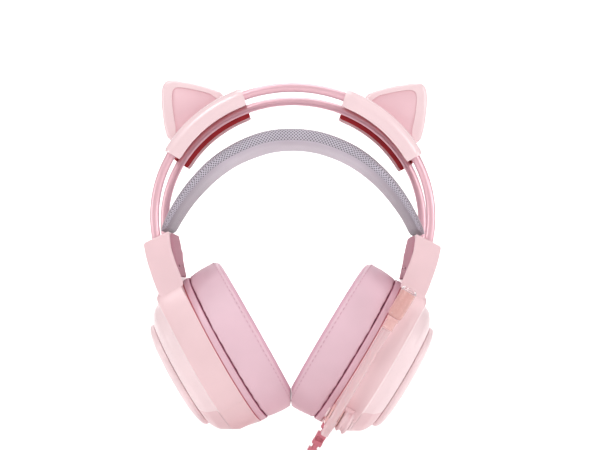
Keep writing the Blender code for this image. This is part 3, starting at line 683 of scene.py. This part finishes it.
def make_pad():
    """A crescent of foam, covered in mesh on its top and edges and lined smooth below."""
    count = 90
    sections = []
    for i in range(count + 1):
        angle = PAD_END_ANGLE + (pi - 2 * PAD_END_ANGLE) * i / count
        across = abs(angle - pi / 2) / (pi / 2 - PAD_END_ANGLE)
        thick = PAD_THICK + (PAD_END_THICK - PAD_THICK) * across**2
        close = max(0.0, (across - 0.965) / 0.035)
        thick *= 1 - 0.45 * close**2
        half_depth = PAD_HALF_DEPTH - 0.0022 * close**2
        top, normal = on_arch(angle, PAD_HALF_WIDTH, PAD_HALF_HEIGHT, PAD_CENTRE_Z)
        section = []
        for y, height in pad_outline(half_depth, thick):
            ripple = 0.00025 * noise.noise(Vector((top.x * 60, y * 60, top.z * 60)))
            section.append(top + normal * (height + ripple) + Vector((0, y, 0)))
        sections.append(section)
    lining = 18  # so many sides of the outline run along the underside
    pad = loft("head_pad_cover", sections, paint=lambda _, side: int(side < lining))
    give(pad, PAD_MESH, PAD_LINING)
    show(pad, "pad", "pad_fabric", "head_pad")


def make_tongue():
    low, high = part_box("right_pad_tongue")
    strap = box("right_pad_strap", low, high)
    grooves = []
    for number, y in enumerate((-0.006, 0.0, 0.006)):
        start = (high[0] - 0.0003, y - 0.0008, low[2] - 0.001)
        end = (high[0] + 0.001, y + 0.0008, high[2] + 0.001)
        grooves.append(box(f"groove_{number}", start, end))
    combine(strap, "DIFFERENCE", *grooves)
    soften(strap, 0.0003, 2)
    show_pair(give(strap, PINK["strap"]), "pad", "tongue_strap", "right_pad_tongue")


# Cups


def chin(z):
    """How far down the cup its flat underside lies, at this distance along its axis."""
    return (CUP_ORIGIN.z - CHIN_Z + cos(CUP_TILT) * z) / sin(CUP_TILT)


def oval(half, z, lift=0.0, half_depth=None):
    """The cup's outline at this height along its axis, cut flat at the chin or at lift above it."""
    half_depth = half - OVAL_EXTRA if half_depth is None else half_depth
    lowest = chin(z) - lift
    return [Vector((min(half * cos(turn), lowest), half_depth * sin(turn), z)) for turn in CUP_TURNS]


def band_oval(half, z):
    """The oval of the housing's band, whose upper part widens to carry the block."""
    scale = half / CUP_HALF
    corner = Vector((-NECK_TOP, NECK_HALF_DEPTH))
    along = (corner - FLANK_LOW).normalized()
    points = []
    for point in oval(half, z):
        reach = point.xy.length
        ray = Vector((point.x, abs(point.y))) / reach
        if point.x < FLANK_LOW.x * scale:
            to_top = (NECK_TOP * scale - 0.6 * max(0.0, z - 0.068)) / -ray.x
            to_flank = scale * FLANK_LOW.cross(along) / ray.cross(along)
            reach = (to_top**-NECK_BLEND + to_flank**-NECK_BLEND) ** (-1 / NECK_BLEND)
        points.append(Vector((reach * ray.x, copysign(reach * ray.y, point.y), z)))
    return points


def cushion_point(half, z, turn):
    """A point on the cushion's cover, puckered where it tucks into the ring and pressed flat at its twin."""
    x, y = half * cos(turn), (half - OVAL_EXTRA) * sin(turn)
    tuck = max(0.0, 1 - abs(z - 0.0492) / 0.004)
    pucker = noise.noise(Vector((x * 260, y * 260, 3.1))) * 0.0005 * tuck
    crease = noise.noise(Vector((x * 90, y * 90, z * 160))) * 0.0003
    sag = noise.noise(Vector((x * 30, y * 30, z * 40))) * 0.0004
    grow = 1 + (crease + sag) / half
    x, y = x * grow, y * grow
    z += CUSHION_LEAN * y * min(1.0, max(0.0, (0.046 - z) / 0.01))
    limit = (CUP_ORIGIN.x + sin(CUP_TILT) * z - 0.0001) / -cos(CUP_TILT)
    over, give_way = x - limit + 0.0008, 0.0008
    if over > 0:
        x = limit - give_way + over * give_way / (over + give_way)
    return Vector((x, y, z + pucker))


def cushion_profile():
    """(half height, z) from the ring up the outer side, over the seam and face, and down the inside."""
    outer = [(0.04, 0.05), (0.0471, 0.05, 0.0006), (0.0482, 0.049, 0.0008), (0.0486, 0.0455)]
    outer += [(0.0489, 0.04), (0.0487, 0.0344), (0.0482, 0.0326, 0.0006)]
    groove = [(0.0476, 0.0324, 0.0003), (0.0474, 0.0317, 0.0003)]
    face = [(0.0458, 0.0303, 0.0016), (0.043, 0.0303, 0.0025), (0.0385, 0.0311, 0.003)]
    face += [(0.0345, 0.0333, 0.003)]
    inside = [(0.0315, 0.0375), (0.0312, 0.045), (0.0325, 0.0499)]
    return rounded(outer + groove + face + inside, 0.0018, steps=4, closed=True)


def make_cushion():
    profile = cushion_profile()
    turns = [tau * i / 240 for i in range(240)]
    sections = [[cushion_point(half, z, turn) for turn in turns] for half, z in profile]
    # faces tucked into the ring are painted dark red as painted shade in the gap
    shaded_tuck = {i for i, (_, z) in enumerate(profile) if z > 0.0496}
    # the strip beyond the seam, facing the head, gets the darker leatherette as painted shade
    shaded_face = {i for i, (_, z) in enumerate(profile) if z < 0.0322}
    slots = {**dict.fromkeys(shaded_face, 2), **dict.fromkeys(shaded_tuck, 1)}
    paint = lambda section, _: slots.get(section, 0)
    cover = loft("right_cushion_cover", sections, capped=False, matrix=CUP, paint=paint)
    cushion = give(cover, CUSHION, PINK["gap_shade"], CUSHION_SHADED_FACE)
    for piece in show_pair(cushion, "headset", "cushion_leatherette", "right_cushion"):
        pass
    make_stitches()


def make_stitches():
    """Short raised threads round the cushion, beside its seam."""
    count, radius, half, z = 96, 0.00022, 0.0487, 0.0338
    shape = bmesh.new()
    for i in range(count):
        start, end = (tau * (i + offset) / count for offset in (0.18, 0.82))
        ends = [CUP @ cushion_point(half, z, turn) for turn in (start, end)]
        middle, along = (ends[0] + ends[1]) / 2, ends[1] - ends[0]
        made = bmesh.ops.create_uvsphere(shape, u_segments=8, v_segments=6, radius=radius)
        stretch = Matrix.Diagonal((1, 1, along.length / (2 * radius), 1))
        spin = along.to_track_quat("Z", "Y").to_matrix().to_4x4()
        bmesh.ops.transform(shape, matrix=Matrix.Translation(middle) @ spin @ stretch, verts=made["verts"])
    stitches = give(new_object("right_cushion_stitches", shape), THREAD)
    show_pair(stitches, "headset", "cushion_leatherette")


def make_baffle():
    """The ring behind the cushion, painted dark red as painted shade where it meets the cushion; a thin deep
    red ring at the seam for its red line and the painted shadow in its gap; and the cloth over the driver.
    """
    corners = [(CUP_HALF, 0.0503), (CUP_HALF, 0.0545), (0.0452, 0.0545), (0.0452, 0.0578)]
    corners += [(0.0431, 0.0578), (0.0431, 0.0533), (0.0205, 0.0533), (0.0205, 0.0503)]
    profile = rounded(corners, 0.0009, steps=3, closed=True)
    sections = [oval(half, z, half_depth=None if half > 0.03 else half) for half, z in profile]
    # faces next to the cushion are painted dark red as painted shade in the gap
    gap_shaded = {i for i, (_, z) in enumerate(profile) if z < 0.0504}
    paint = lambda section, _: int(section in gap_shaded)
    ring = loft("right_baffle_ring", sections, capped=False, matrix=CUP, paint=paint)
    give(ring, PINK["baffle"], PINK["gap_shade"])
    show_pair(ring, "headset", "baffle_plastic", "right_baffle")
    # a thin deep red ring at the seam: the seam's red line, with painted shadow for its gap
    rim = ((0.048, 0.05452), (0.048, 0.05478), (0.0455, 0.05478), (0.0455, 0.05452))
    seam_and_shadow = loft("right_seam_gasket", [oval(half, z) for half, z in rim], capped=False, matrix=CUP)
    show_pair(give(seam_and_shadow, PINK["seam"]), "headset", "baffle_plastic")
    dome = [(0, 0.0518), (0.02, 0.0518), (0.0202, 0.0512), (0.0196, 0.0508)]
    for turn in map(radians, range(15, 90, 15)):
        dome.append((0.02 * cos(turn), 0.0508 - 0.0012 * sin(turn)))
    cloth = turned("right_driver_cloth", [*dome, (0, 0.0496)], CUP, 64)
    show_pair(give(cloth, CLOTH), "headset", "driver_cloth", "right_driver_mesh")


def make_housing():
    """The band, raised above the stepped shoulder, with its lower corner cut to an L. Its shoulder and outer
    edge above the corner, and the step at the L's corner, are painted in a paler pink as painted highlight.
    """
    band = [(CUP_HALF, SEAM, 0.0004), (CUP_HALF, 0.069, 0.0016), (0.0477, 0.0709, 0.0006)]
    band += [(0.0464, 0.0713, 0.0003)]
    shoulder = [(0.045, 0.0716), (0.043, 0.075, 0.002), (0.0416, 0.0778, 0.002)]
    shoulder += [(0.0384, 0.0802, 0.001), (0.0356, 0.0819, 0.001)]
    inside = [(0.031, 0.082), (0.031, 0.0795), (0.036, 0.0785), (0.039, 0.075), (0.0425, 0.0695)]
    inside += [(0.0457, 0.0665), (0.0457, 0.062), (0.0457, SEAM)]
    profile = rounded(band + shoulder + inside, 0.0006, steps=4, closed=True)
    sections = []
    for half, z in profile:
        outside = half > 0.0459 and z < 0.0714 and (half > 0.0461 or z > 0.07)
        if outside:
            sections.append(step_band(band_oval(half, z), z))
        else:
            sections.append(oval(half, z, lift=0.0 if z > 0.0712 and half > 0.0311 else 0.0025))
    highlight_faces = {i for i, (half, z) in enumerate(profile) if z > 0.0706 and half > 0.0309}
    band_face = {i for i, (half, z) in enumerate(profile) if 0.064 < z < 0.0712 and half > 0.0464}
    following = BELOW_CORNER[1:] + BELOW_CORNER[:1]
    corner = {i for i, (here, after) in enumerate(zip(BELOW_CORNER, following)) if here != after}

    # the shoulder above the corner and the step at the L get painted highlight
    def paint(section, turn):
        painted_highlight = section in highlight_faces and not BELOW_CORNER[turn]
        return int(painted_highlight or (section in band_face and turn in corner))

    housing = loft("right_housing_shell", sections, capped=False, matrix=CUP, paint=paint)
    return give(housing, PINK["housing"], PINK["shoulder"])


def step_band(points, z):
    """Lowers the band below its L-shaped corner, with the step fading towards the seam."""
    outer = min(1.0, max(0.0, (z - 0.064) / 0.005))
    lowered = []
    for below, point in zip(BELOW_CORNER, points):
        lowered.append(point - Vector((point.x, point.y, 0)).normalized() * 0.0009 * below * outer)
    return lowered


def make_cap():
    """The low outer dome over the housing's ledge, in a lighter copy of the housing pink as painted highlight
    from the side light.
    """
    seat = 0.0823
    edge = [(0.0286, seat + 0.001), (0.0286, 0.079), (0.0306, 0.079), (0.0306, seat)]
    dome = [(0.034, seat, 0.0006), (0.0341, 0.0846, 0.001), (0.0322, 0.0862, 0.0014)]
    dome += [(0.027, 0.0877, 0.003), (0.018, 0.0886)]
    profile = rounded(edge + dome, 0.0004, steps=4)
    cap = loft("right_cap_dome", [oval(half, z) for half, z in profile], matrix=CUP)
    show_pair(give(cap, PINK["lit_pink"]), "headset", "cap_plastic", "right_outer_cap")


def make_block():
    """The block that joins the rods to the cup, hollow behind its inner cover."""
    outline = [(0.071, -0.0532, 0.0012), (0.0858, -0.0604, 0.0016), (0.0838, -0.0702, 0.004)]
    outline += [(0.0797, -0.0823, 0.004), (0.0774, -0.088, 0.002), (0.0711, -0.099, 0.001)]
    outline += [(0.0595, -0.0923, 0.001), (0.0636, -0.08, 0.001), (0.068, -0.0691, 0.003)]
    outline += [(0.07, -0.0622, 0.003)]
    block = plate("right_block_shell", outline, -0.028, 0.028, 0.001)
    cavity = [(0.06, -0.0562), (0.0699, -0.0562), (0.0822, -0.0623), (0.0807, -0.0707), (0.0769, -0.0817)]
    cavity += [(0.076, -0.0835), (0.06, -0.0744)]
    hollow = prism("hollow", cavity, -0.0258, 0.0258)
    room = loft("room", [band_oval(CUP_HALF + 0.0002, z) for z in (0.045, 0.074)], matrix=CUP)
    recess = [(0.05, -0.05), (0.0716, -0.05), (0.0716, -0.056), (0.0712, -0.0622)]
    recess += [(0.0697, -0.0691), (0.0665, -0.0796), (0.0648, -0.086), (0.05, -0.086)]
    ledge = prism("ledge", recess, -0.0262, 0.031)
    (x0, y0, z0), (x1, y1, _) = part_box("right_pad_tongue")
    play = 0.0006
    slot = box("slot", (x0 - play, y0 - play, z0), (x1 + play, y1 + play, -0.05))
    sockets = []
    for y in (-ROD_SIDE, ROD_SIDE):
        points = [rod_point(radians(angle), 0, y) for angle in range(-28, -2, 3)]
        socket = tube(f"socket_{y}", points, ROD_RADIUS + 0.0003, 6)
        mesh = bpy.data.meshes.new_from_object(socket.evaluated_get(bpy.context.evaluated_depsgraph_get()))
        bpy.data.objects.remove(socket, do_unlink=True)
        shape = bmesh.new()
        shape.from_mesh(mesh)
        bmesh.ops.remove_doubles(shape, verts=shape.verts, dist=1e-6)
        sockets.append(new_object("socket", shape))
    combine(block, "DIFFERENCE", room, hollow, ledge, slot, *sockets)
    show_pair(give(block, PINK["block"]), "headset", "housing_plastic", "right_block")


def make_inner_cover():
    """A cover over the block's open side, with two small slots and a soft inner edge, in a darkened pink as
    painted shade.
    """
    inner = [(0.0705, -0.0536, 0.0005), (0.0691, -0.059, 0.003), (0.0678, -0.067, 0.003)]
    inner += [(0.0661, -0.0755, 0.002), (0.0654, -0.0786, 0.0004), (0.0659, -0.0793, 0.0003)]
    outer = [(0.0686, -0.0692, 0.0005), (0.0689, -0.0635, 0.001), (0.0708, -0.06, 0.001)]
    sections = []
    for y in [-0.0259 + 0.0527 * i / 40 for i in range(41)]:
        edge = min(y + 0.0259, 0.0268 - y)
        round_off = max(0.0, 1 - edge / 0.008)
        thinner = 0.0014 * round_off**2 + 0.0004 * max(0.0, y / 0.0268)
        top = -0.0536 - 0.008 * (1 - sqrt(1 - round_off**2))
        corners = [(x + thinner, z, radius) for x, z, radius in inner] + outer
        outline = rounded(corners, 0, closed=True)
        sections.append([Vector((min(point.x, 0.0708), y, min(point.y, top))) for point in outline])
    cover = loft("right_cover_shell", sections)
    slots = ((y - 0.0032, y + 0.0032) for y in (-0.0105, 0.0105))
    slots = [box(f"slot_{start}", (0.055, start, -0.0736), (0.075, end, -0.0721)) for start, end in slots]
    combine(cover, "DIFFERENCE", *slots)
    show_pair(give(cover, PINK["cover"]), "headset", "cover_plastic", "right_inner_cover")


# Ears


def clip_profile():
    """Across the clip, (y, height over the rods): a hood round the front rod, a lip behind the rear one."""
    half, inner = CLIP_HALF_DEPTH, CLIP_HALF_DEPTH - 0.0019
    hood = []
    for turn in map(radians, range(110, -1, -10)):
        hood.append((-0.0228 - 0.005 * sin(turn), -0.0006 + 0.0054 * cos(turn), 0))
    outside = [(-0.0268, CLIP_FRONT_LIP, 0.0004), *hood, (half, CLIP_TOP, 0.003)]
    outside += [(half, CLIP_REAR_LIP, 0.0006)]
    inside = [(inner, CLIP_REAR_LIP, 0.0006), (inner, -0.005, 0), (inner, 0.003, 0.0006)]
    inside += [(-inner, 0.003, 0.0006), (-inner, -0.004, 0.001), (-0.0256, CLIP_FRONT_LIP, 0.0004)]
    return rounded(outside + inside, 0.0006, steps=5, closed=True)


def make_clip():
    count = 40
    profile = clip_profile()
    start, end = CLIP_ARC
    sections = []
    for i in range(count + 1):
        angle = start + (end - start) * i / count
        ease = min(i, count - i)
        shrink = (0.0005, 0.00015)[ease] if ease < 2 else 0.0
        narrow = 1 - shrink * 30
        sections.append([rod_point(angle, out - copysign(shrink, out), y * narrow) for y, out in profile])
    pairs = list(zip(profile, profile[1:] + profile[:1]))
    middles = [((y + next_y) / 2, (out + next_out) / 2) for (y, out), (next_y, next_out) in pairs]
    wall = CLIP_HALF_DEPTH - 0.0012
    # faces inside the channel get painted shade, a dark red where little light reaches
    inside = [int(abs(y) < wall and -0.0051 < out < 0.0032) for y, out in middles]
    clip = loft("right_clip_saddle", sections, paint=lambda _, side: inside[side])
    give(clip, PINK["clip"], PINK["clip_inside_shade"])
    show_pair(clip, "right_ear_set", "clip_plastic", "right_ear_clip")


def along_clip(arc, out, count=14):
    start, end = arc
    points = [rod_point(start + (end - start) * i / count, CLIP_TOP + out) for i in range(count + 1)]
    return [(point.x, point.z, 0 if 0 < i < count else 0.0008) for i, point in enumerate(points)]


def ear_outline():
    sides = [(0.0436, 0.03, 0.002), (0.055, 0.0338, 0.006), (0.069, 0.0362, 0.004)]
    sides += [(0.0756, 0.0364, 0.004), (0.0782, 0.0322, 0.004), (0.0783, 0.0233, 0.006)]
    sides += [(0.077, 0.0113, 0.006), (0.0748, 0.0025, 0.002)]
    return [*along_clip(EAR_ARC, 0.0002), *sides]


def panel_outline():
    arc = (EAR_ARC[0] + 0.045, EAR_ARC[1] - 0.055)
    sides = [(0.0495, 0.0283, 0.001), (0.056, 0.03, 0.004), (0.0664, 0.032, 0.004)]
    sides += [(0.0712, 0.0315, 0.0035), (0.0722, 0.0265, 0.004), (0.0708, 0.015, 0.005)]
    sides += [(0.0694, 0.0085, 0.001)]
    return [*along_clip(arc, 0.0012), *sides]


def make_ear():
    """A soft-edged ear, its rim raised round the inlaid panel."""
    ear = plate("right_ear_shell", ear_outline(), EAR_FRONT, EAR_BACK, 0.0022, 5)
    recess = plate("recess", panel_outline(), EAR_FRONT - 0.004, EAR_FRONT + 0.0016, 0.0003)
    combine(ear, "DIFFERENCE", recess)
    show_pair(give(ear, PINK["clip"]), "right_ear_set", "clip_plastic", "right_ear")
    inlay = inset(panel_outline(), -0.0002)
    panel = plate("right_ear_inlay", inlay, EAR_FRONT + 0.0007, EAR_FRONT + 0.0015, 0.0002, 2)
    show_pair(give(panel, PINK["panel"]), "right_ear_set", "ear_panel_plastic", "right_ear_panel")


# Microphone


def up_the_cup(x, y, z):
    """A frame on the cup whose Z runs up the cup."""
    return CUP @ Matrix.Translation((x, y, z)) @ Matrix.Rotation(-pi / 2, 4, "Y")


def on_pivot(z):
    """A frame on the hinge's axis, Z outward along it."""
    return CUP @ Matrix.Translation((PIVOT.x, PIVOT.y, z))


def ridged(high):
    """A drum's profile, with a groove between two round ridges."""
    low_ridge = [(0.0056, 0.0), (0.0065, 0.0008), (0.0065, 0.0016), (0.0054, 0.0024)]
    high_ridge = [(radius, high - z) for radius, z in reversed(low_ridge)]
    return closed_profile([*low_ridge, *high_ridge], 0.0004)


def make_hinge():
    """The bracket's drum and arm, the hub's drum with the boom's sleeve, and the pin through both."""
    bracket = turned("mic_bracket_arm", ridged(BRACKET_LONG), on_pivot(BRACKET_LOW))
    lean = on_pivot(BRACKET_LOW) @ Matrix.Rotation(radians(20), 4, "Z")
    arm = box("arm", (-0.0045, 0, 0.0002), (0.0045, 0.018, 0.0058), lean)
    room = loft("room", [band_oval(CUP_HALF + 0.0002, z) for z in (0.045, 0.072)], matrix=CUP)
    dish = [(0, 0.0052), (0.004, 0.0052), (0.0046, 0.008), (0, 0.008)]
    dish = turned("dish", dish, on_pivot(BRACKET_LOW))
    combine(bracket, "UNION", arm)
    combine(bracket, "DIFFERENCE", room, dish)
    show(give(bracket, PINK["housing"]), "headset", "housing_plastic", "mic_bracket")

    hub = turned("mic_hub_drum", ridged(HUB_LONG), on_pivot(HUB_LOW))
    sleeve = [(0.0025, 0.0), (0.0027, 0.0), (0.0027, 0.006), (0.0025, 0.006)]
    sleeve = rounded(sleeve, 0.0001, steps=2, closed=True)
    grip = give(turned("mic_boom_sleeve", sleeve, up_the_cup(0.0455, BOOM_Y, BOOM_Z)), PINK["boom"])
    show(grip, "microphone", "housing_plastic", "mic_hub")
    bore = [(0, 0), (0.0026, 0), (0.0026, 0.04), (0, 0.04)]
    cuts = [turned("bore", bore, up_the_cup(0.055, BOOM_Y, BOOM_Z))]
    for middle in (0.003, 0.0045):
        near, far = middle - 0.0003, middle + 0.0003
        groove = [(near, 0.0), (far, 0.0), (far, 0.0006), (near, 0.0006)]
        cuts.append(turned(f"groove_{middle}", groove, on_pivot(HUB_LOW - 0.0002)))
    combine(hub, "DIFFERENCE", *cuts)
    show(give(hub, PINK["collar"]), "microphone", "housing_plastic", "mic_hub")

    pin = [(0.003, 0.0), (0.003, 0.001), (0.0018, 0.0012), (0.0018, 0.0148, 0)]
    pin += [(0.0018, 0.015, 0), (0.003, 0.015), (0.003, 0.016)]
    pin = turned("mic_pin_cover", closed_profile(pin, 0.0003), on_pivot(HUB_LOW - 0.0013))
    show(give(pin, PINK["lit_pink"]), "headset", "screws", "mic_hinge_pin")


def make_boom():
    """The boom, and from its top up the collar, the capsule with its ports, and the clear tip."""
    long = BOOM_TAIL - BOOM_TOP
    boom = closed_profile([(BOOM_RADIUS, 0.0, 0.002), (BOOM_RADIUS, long - 0.0002)], 0.0004)
    boom = turned("mic_boom_tube", boom, up_the_cup(BOOM_TAIL, BOOM_Y, BOOM_Z))
    show(give(boom, PINK["boom"]), "microphone", "boom_plastic", "mic_boom")

    top = up_the_cup(BOOM_TOP, BOOM_Y, BOOM_Z)
    collar = [(0.0034, 0.0003), (0.0034, 0.001), (0.003, 0.0014), (0.003, 0.0052)]
    collar += [(0.0037, 0.0062), (0.0037, 0.0074)]
    collar = turned("mic_collar_ring", closed_profile(collar, 0.0004), top)
    show(give(collar, PINK["collar"]), "microphone", "collar_plastic", "mic_collar")
    capsule = [(0.0034, 0.0077), (0.0045, 0.0092, 0.001), (0.0045, 0.0238)]
    capsule = turned("mic_capsule_body", closed_profile(capsule, 0.0005), top)
    ports = []
    for turn in (0.3, 0.8, 1.3):
        spin = top @ Matrix.Rotation(turn, 4, "Z")
        ports.append(box(f"port_{turn}", (-0.0006, 0.004, 0.01), (0.0006, 0.006, 0.0106), spin))
    combine(capsule, "DIFFERENCE", *ports)
    show(give(capsule, PINK["capsule"]), "microphone", "capsule_enamel", "mic_capsule")
    tip = [(0.0046, 0.0241, 0.0003), (0.0046, 0.0251, 0.0016), (0.0032, 0.0265, 0.0016)]
    tip = turned("mic_tip_clear", closed_profile(tip, 0.0005, end=0.0266), top)
    show(give(tip, CLEAR), "microphone", "clear_plastic", "mic_clear_cap")


# Cord


def make_relief():
    """A boot of ribs, joined by webs that alternate between its middle and its sides."""
    rib, pitch, wide, thick = 0.0028, 0.0052, 0.0035, 0.003
    base = up_the_cup(RELIEF_END, RELIEF_Y, RELIEF_Z)
    long = RELIEF_END - RELIEF_TOP
    core = [(0, 0.0005), (0.0016, 0.0005), (0.0018, long + 0.003), (0, long + 0.003)]
    core = turned("strain_relief_boot", core, base, 32)
    added = []
    for i in range(5):
        top = long - pitch * i
        corners = [(-thick, -wide), (thick, -wide), (thick, wide), (-thick, wide)]
        outline = rounded(corners, 0.001, closed=True)
        sections = [
            [Vector((x * k, y * k, z)) for x, y in outline]
            for k, z in ((0.93, top), (1.0, top - 0.0003), (1.0, top - rib + 0.0003), (0.93, top - rib))
        ]
        added.append(loft(f"rib_{i}", sections, matrix=base))
        if i == 4:
            break
        low, high = top - pitch - 0.0003, top - rib + 0.0003
        webs = [(-1, 0), (1, 0)] if i % 2 else [(0, -1), (0, 1)]
        for along_x, along_y in webs:
            middle = Vector((along_x * (thick - 0.0008), along_y * (wide - 0.001), 0))
            half = Vector((0.0007 if along_x else 0.0011, 0.0009 if along_y else 0.0011, 0))
            start, end = middle - half + Vector((0, 0, low)), middle + half + Vector((0, 0, high))
            added.append(box(f"web_{i}_{along_x}_{along_y}", start, end, base))
    combine(core, "UNION", *added)
    return show(give(core, PINK["relief"]), "headset", "relief_rubber", "strain_relief")


def around(centre, radius, turn, z):
    return Vector((centre.x + radius * cos(turn), centre.y + radius * sin(turn), z))


def coil_turns():
    """Points of the wound cord: four columns of three turns, the outer column first, down and up in turn."""
    centre = (COIL_LOW + COIL_HIGH) / 2
    pitch = 2 * CORD_RADIUS
    slots = []
    for column in range(4):
        layers = (0, 1, 2) if column % 2 == 0 else (2, 1, 0)
        slots += [(0.03 - pitch * column, COIL_HIGH.z - CORD_RADIUS - pitch * layer) for layer in layers]
    points, steps, shift = [], 36, 30
    for (radius, z), (next_radius, next_z) in zip(slots, slots[1:]):
        for step in range(steps):
            late = max(0.0, (step - shift) / (steps - shift))
            ease = late * late * (3 - 2 * late)
            turn = -pi / 2 - tau * step / steps
            r = radius + (next_radius - radius) * ease
            points.append(around(centre, r, turn, z + (next_z - z) * ease))
    return points, centre, slots[-1]


def cord_path():
    """From the strain relief down to the coil, round its turns, and off its top into the plug."""
    down = Vector((cos(CUP_TILT), 0, -sin(CUP_TILT)))
    out = Vector((sin(CUP_TILT), 0, cos(CUP_TILT)))
    start = CUP_ORIGIN + down * (RELIEF_END + 0.0003) + out * RELIEF_Z + Vector((0, RELIEF_Y, 0))
    lying = COIL_HIGH.z + 0.0003 + CORD_RADIUS
    drop = [
        start,
        start + down * 0.006,
        Vector((0.003, -0.0162, -0.1985)),
        Vector((-0.0014, -0.0168, -0.2046)),
        Vector((-0.0078, -0.0176, lying + 0.0006)),
        Vector((-0.015, -0.018, lying)),
    ]
    turns, centre, (last_radius, last_z) = coil_turns()
    sinking = 5
    for i in range(sinking):
        turns[i].z += (lying - turns[i].z) * (1 - i / sinking) ** 1.5
    tail = []
    for step in range(0, 7):
        turn = -pi / 2 - radians(10 * step)
        z = last_z + (lying + 0.0012 - last_z) * (step / 6) ** 1.5
        tail.append(around(centre, last_radius, turn, z))
    plug_low, plug_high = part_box("plug_body")
    plug_z = (plug_low[2] + plug_high[2]) / 2
    over = [(-0.0205, -0.0005, 0.0), (-0.0243, 0.008, 0.0), (-0.0246, 0.0145, 0.0002)]
    over += [(-0.0222, 0.0202, 0.0006), (-0.0188, 0.0233, 0.0009)]
    tail += [Vector((centre.x + x, centre.y + y, lying + 0.0011 + rise)) for x, y, rise in over]
    tail.append(Vector((centre.x - 0.0158, centre.y + 0.024, plug_z)))
    return smooth(drop[:-1] + turns[1:] + tail, 3)


def make_cord(relief):
    points = cord_path()
    length = sum((b - a).length for a, b in zip(points, points[1:]))
    cord = give(tube("cord_run", points, CORD_RADIUS, 3), PINK["cord"])
    show(cord, "headset", "cord_jacket", "cord", "cord_coil")
    pieces = [make_tie(), *make_plug()]
    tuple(points[0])


def make_tie():
    """A strap of hook-and-loop tape round the coil."""
    low, high = (Vector(corner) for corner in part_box("cord_tie"))
    thick = 0.0009
    rings = []
    for depth in (0.0, thick):
        x0, x1, z0, z1 = low.x + depth, high.x - depth, low.z + depth, high.z - depth
        rings.append(rounded([(x0, z0), (x1, z0), (x1, z1), (x0, z1)], 0.0035 - depth, steps=6, closed=True))
    outer, inner = rings
    sections = [[Vector((x, low.y, z)) for x, z in outer], [Vector((x, high.y, z)) for x, z in outer]]
    sections += [[Vector((x, high.y, z)) for x, z in inner], [Vector((x, low.y, z)) for x, z in inner]]
    tie = soften(loft("cord_tie_strap", sections, capped=False), 0.0002, 2)
    return show(give(tie, TIE), "headset", "tie_strap", "cord_tie")


def make_plug():
    """A 3.5 mm plug: ribbed moulding and a contact with its insulating rings."""
    low, high = (Vector(corner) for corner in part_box("plug_body"))
    end = (low.x, (low.y + high.y) / 2, (low.z + high.z) / 2)
    base = Matrix.Translation(end) @ Matrix.Rotation(pi / 2, 4, "Y")
    profile = [(0.0024, 0.0)]
    for i in range(4):
        z = 0.0012 + 0.0013 * i
        profile += [(0.0024, z), (0.0027, z), (0.0027, z + 0.0007), (0.0024, z + 0.0007)]
    profile += [(0.0026, 0.0066), (0.0035, 0.008, 0.001), (0.0035, 0.0205, 0.001), (0.0031, 0.022)]
    body = turned("plug_moulding", closed_profile(profile, 0.0002, 2), base)
    show(give(body, PINK["plug"]), "headset", "plug_plastic", "plug_body")
    r = 0.00175
    contact = [(r, 0.0223)]
    for z in (0.0258, 0.0286, 0.031):
        contact += [(r, z), (r * 0.93, z + 0.0001), (r * 0.93, z + 0.0006), (r, z + 0.0007)]
    contact += [(r, 0.0332), (r * 0.72, 0.0342), (r * 0.95, 0.035), (r * 0.5, 0.0361)]
    pin = turned("plug_pin", closed_profile(contact, 0.00015, 2, end=0.0363), base)
    show(give(pin, GOLD), "headset", "plug_metal", "plug_contact")
    return [body, pin]


# Inner pieces that keep their CAD shape


def finish_inner_nodes():
    finishes = {
        "clamp_screw": STEEL,
        "cup_screw": STEEL,
        "baffle_screw": STEEL,
        "driver_magnet": STEEL,
        "driver_diaphragm": PINK["film"],
        "driver_frame": PINK["black"],
        "clamp": PINK["black"],
    }
    for name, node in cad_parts.items():
        for ending, material in finishes.items():
            if name.endswith(ending):
                give(node, material)
                break


make_camera()
make_studio()
make_cord(make_relief())
make_rods()
make_pad()
make_tongue()
make_cushion()
make_baffle()
show_pair(make_housing(), "headset", "housing_plastic", "right_housing")
make_cap()
make_block()
make_inner_cover()
make_clip()
make_ear()
make_hinge()
make_boom()
finish_inner_nodes()
